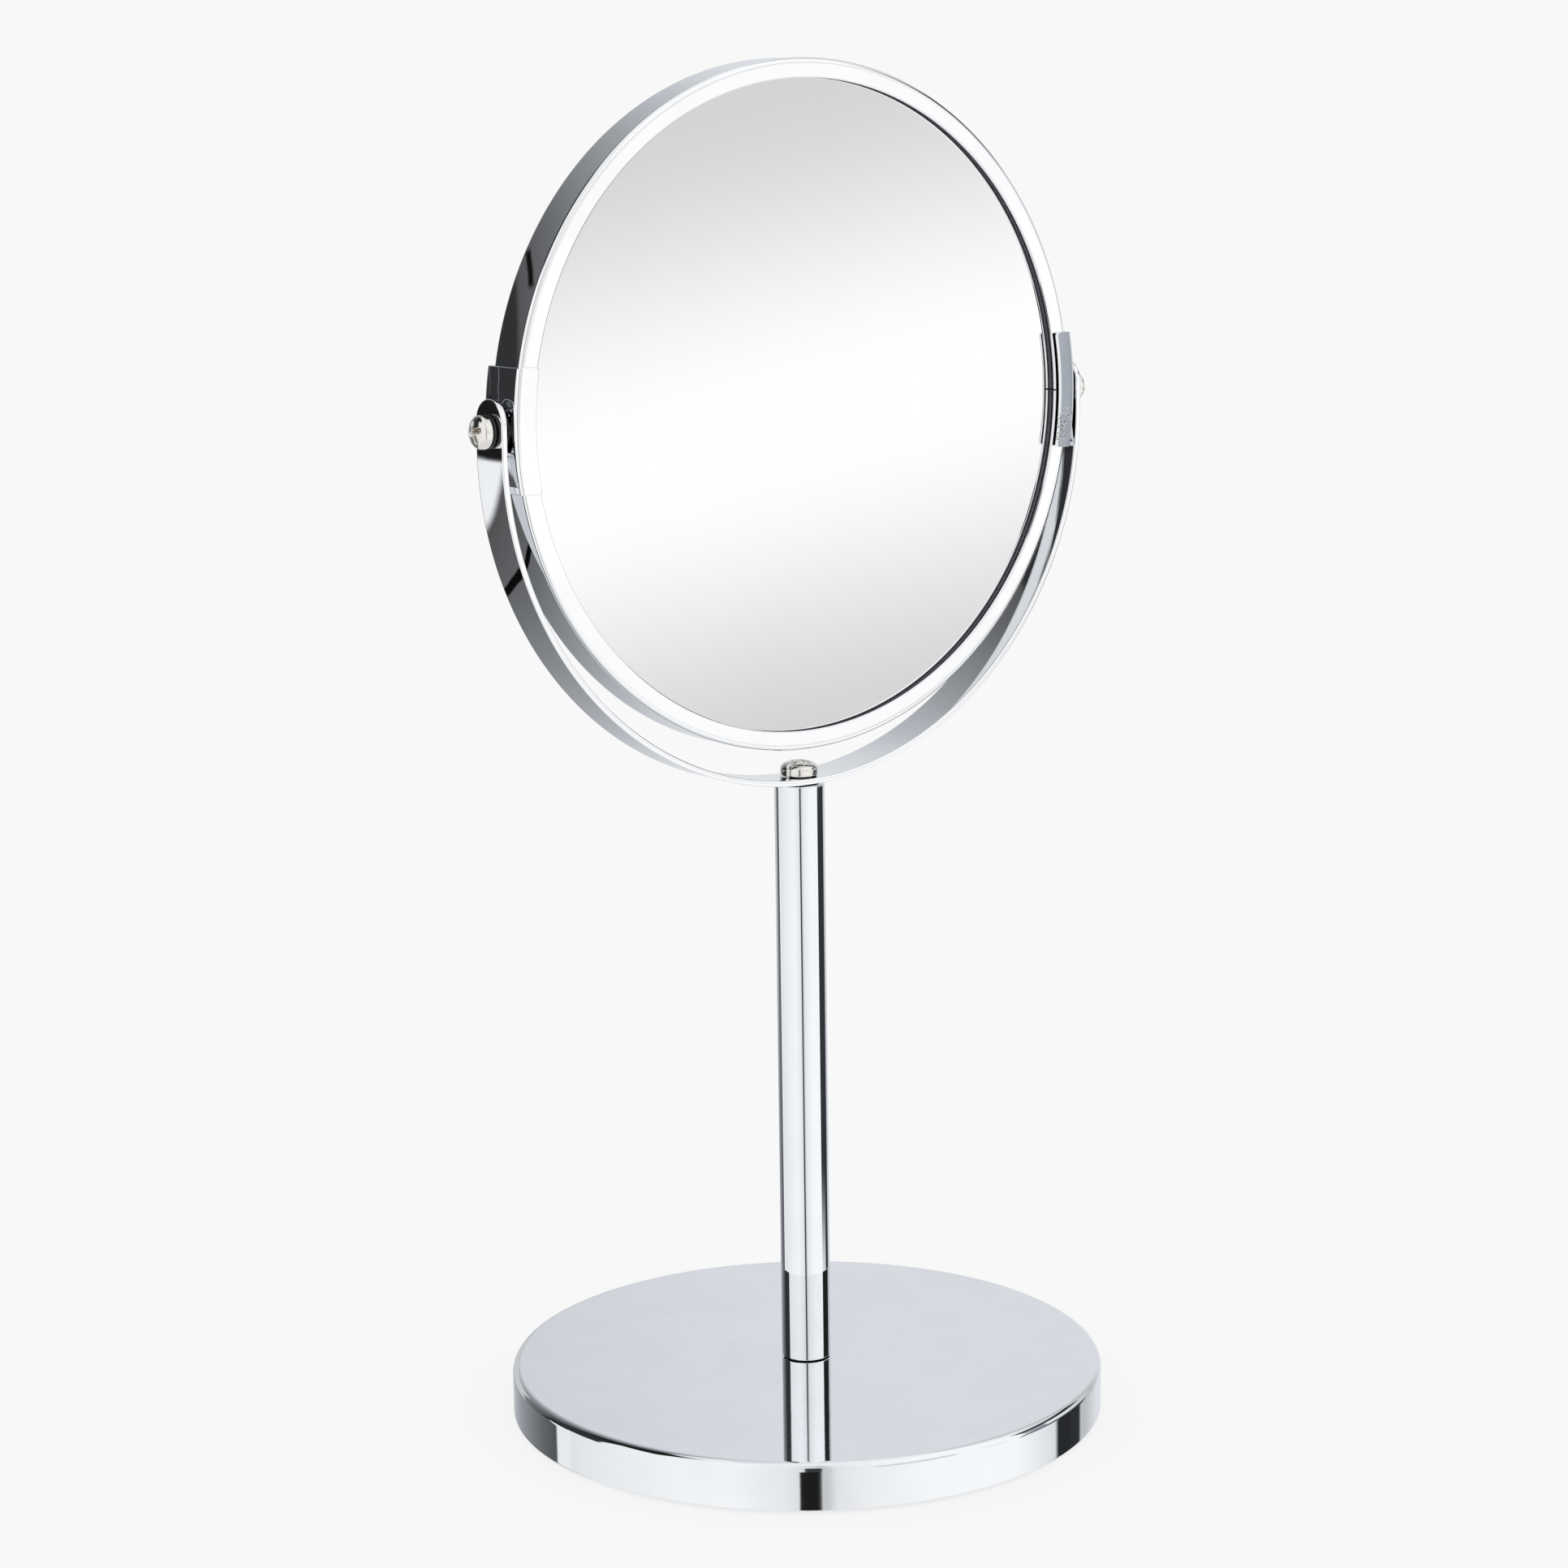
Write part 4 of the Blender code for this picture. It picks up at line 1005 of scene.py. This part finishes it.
def build_floor():
    """A pale floor that takes only a trace of contact shadow."""
    material = bpy.data.materials.new("pale_floor")
    material.use_nodes = True
    tree = material.node_tree
    tree.nodes.clear()
    grain = noise(tree, object_position(tree), 0.02, 2.0)
    level = mix_colour(tree, grain, (BACKDROP * 0.998,) * 3, (BACKDROP * 1.002,) * 3)
    glow = node(tree, "ShaderNodeEmission", {"Color": level}).outputs[0]
    matt = node(tree, "ShaderNodeBsdfDiffuse", {"Color": level}).outputs[0]
    mixed = node(tree, "ShaderNodeMixShader", {0: 0.15, 1: glow, 2: matt}).outputs[0]
    output = node(tree, "ShaderNodeOutputMaterial")
    tree.links.new(mixed, output.inputs["Surface"])
    size, steps = 30.0, 24
    points = [(size * (k / steps - 0.5), size * (j / steps - 0.5), -0.0003)
              for j in range(steps + 1) for k in range(steps + 1)]
    mesh = bpy.data.meshes.new("floor")
    mesh.from_pydata(points, [], grid_faces(steps + 1, steps + 1))
    mesh.materials.append(material)
    floor = bpy.data.objects.new("floor", mesh)
    bpy.context.scene.collection.objects.link(floor)
    floor.visible_glossy = False


def build_lights():
    for name, place, size, power in (("softbox_left", (-0.9, -0.9, 1.1), 0.9, 0.5),
                                     ("softbox_right", (1.1, -0.6, 0.9), 0.9, 0.4),
                                     ("softbox_top", (0.0, 0.2, 1.6), 1.2, 0.6)):
        data = bpy.data.lights.new(name, "AREA")
        data.shape = "SQUARE"
        data.size = size
        data.energy = power
        light = bpy.data.objects.new(name, data)
        light.location = place
        aim = Vector((0, 0, 0.17)) - light.location
        light.rotation_euler = aim.to_track_quat("-Z", "Y").to_euler()
        light.visible_glossy = False
        light.visible_camera = False
        bpy.context.scene.collection.objects.link(light)


# the camera, fitted to the object's outlines: place in millimetres, turns in radians
CAMERA_PLACE = (-528.91, -703.99, 334.31)
CAMERA_YAW, CAMERA_PITCH, CAMERA_ROLL = -0.63995, 0.19168, -0.01361
CAMERA_LENS, CAMERA_SENSOR = 81.737, 36.0


def build_camera():
    yaw, pitch, roll = CAMERA_YAW, CAMERA_PITCH, CAMERA_ROLL
    forward = Vector((-math.sin(yaw) * math.cos(pitch), math.cos(yaw) * math.cos(pitch),
                      -math.sin(pitch)))
    right = Vector((math.cos(yaw), math.sin(yaw), 0))
    up = right.cross(forward)
    right, up = (right * math.cos(roll) + up * math.sin(roll),
                 up * math.cos(roll) - right * math.sin(roll))
    data = bpy.data.cameras.new("camera")
    data.sensor_width = CAMERA_SENSOR
    data.lens = CAMERA_LENS
    data.clip_start, data.clip_end = 0.05, 100.0
    camera = bpy.data.objects.new("camera", data)
    turn = Matrix((right, up, -forward)).transposed()
    camera.matrix_world = Matrix.Translation(Vector(CAMERA_PLACE) * MM) @ turn.to_4x4()
    bpy.context.scene.collection.objects.link(camera)
    bpy.context.scene.camera = camera


build_base()
build_column()
build_screws()
build_yoke()
build_rings()
build_mirrors()
build_clips()
dress_kept_nodes()
build_world()
build_floor()
build_lights()
build_camera()
bpy.context.scene.view_settings.view_transform = "Standard"
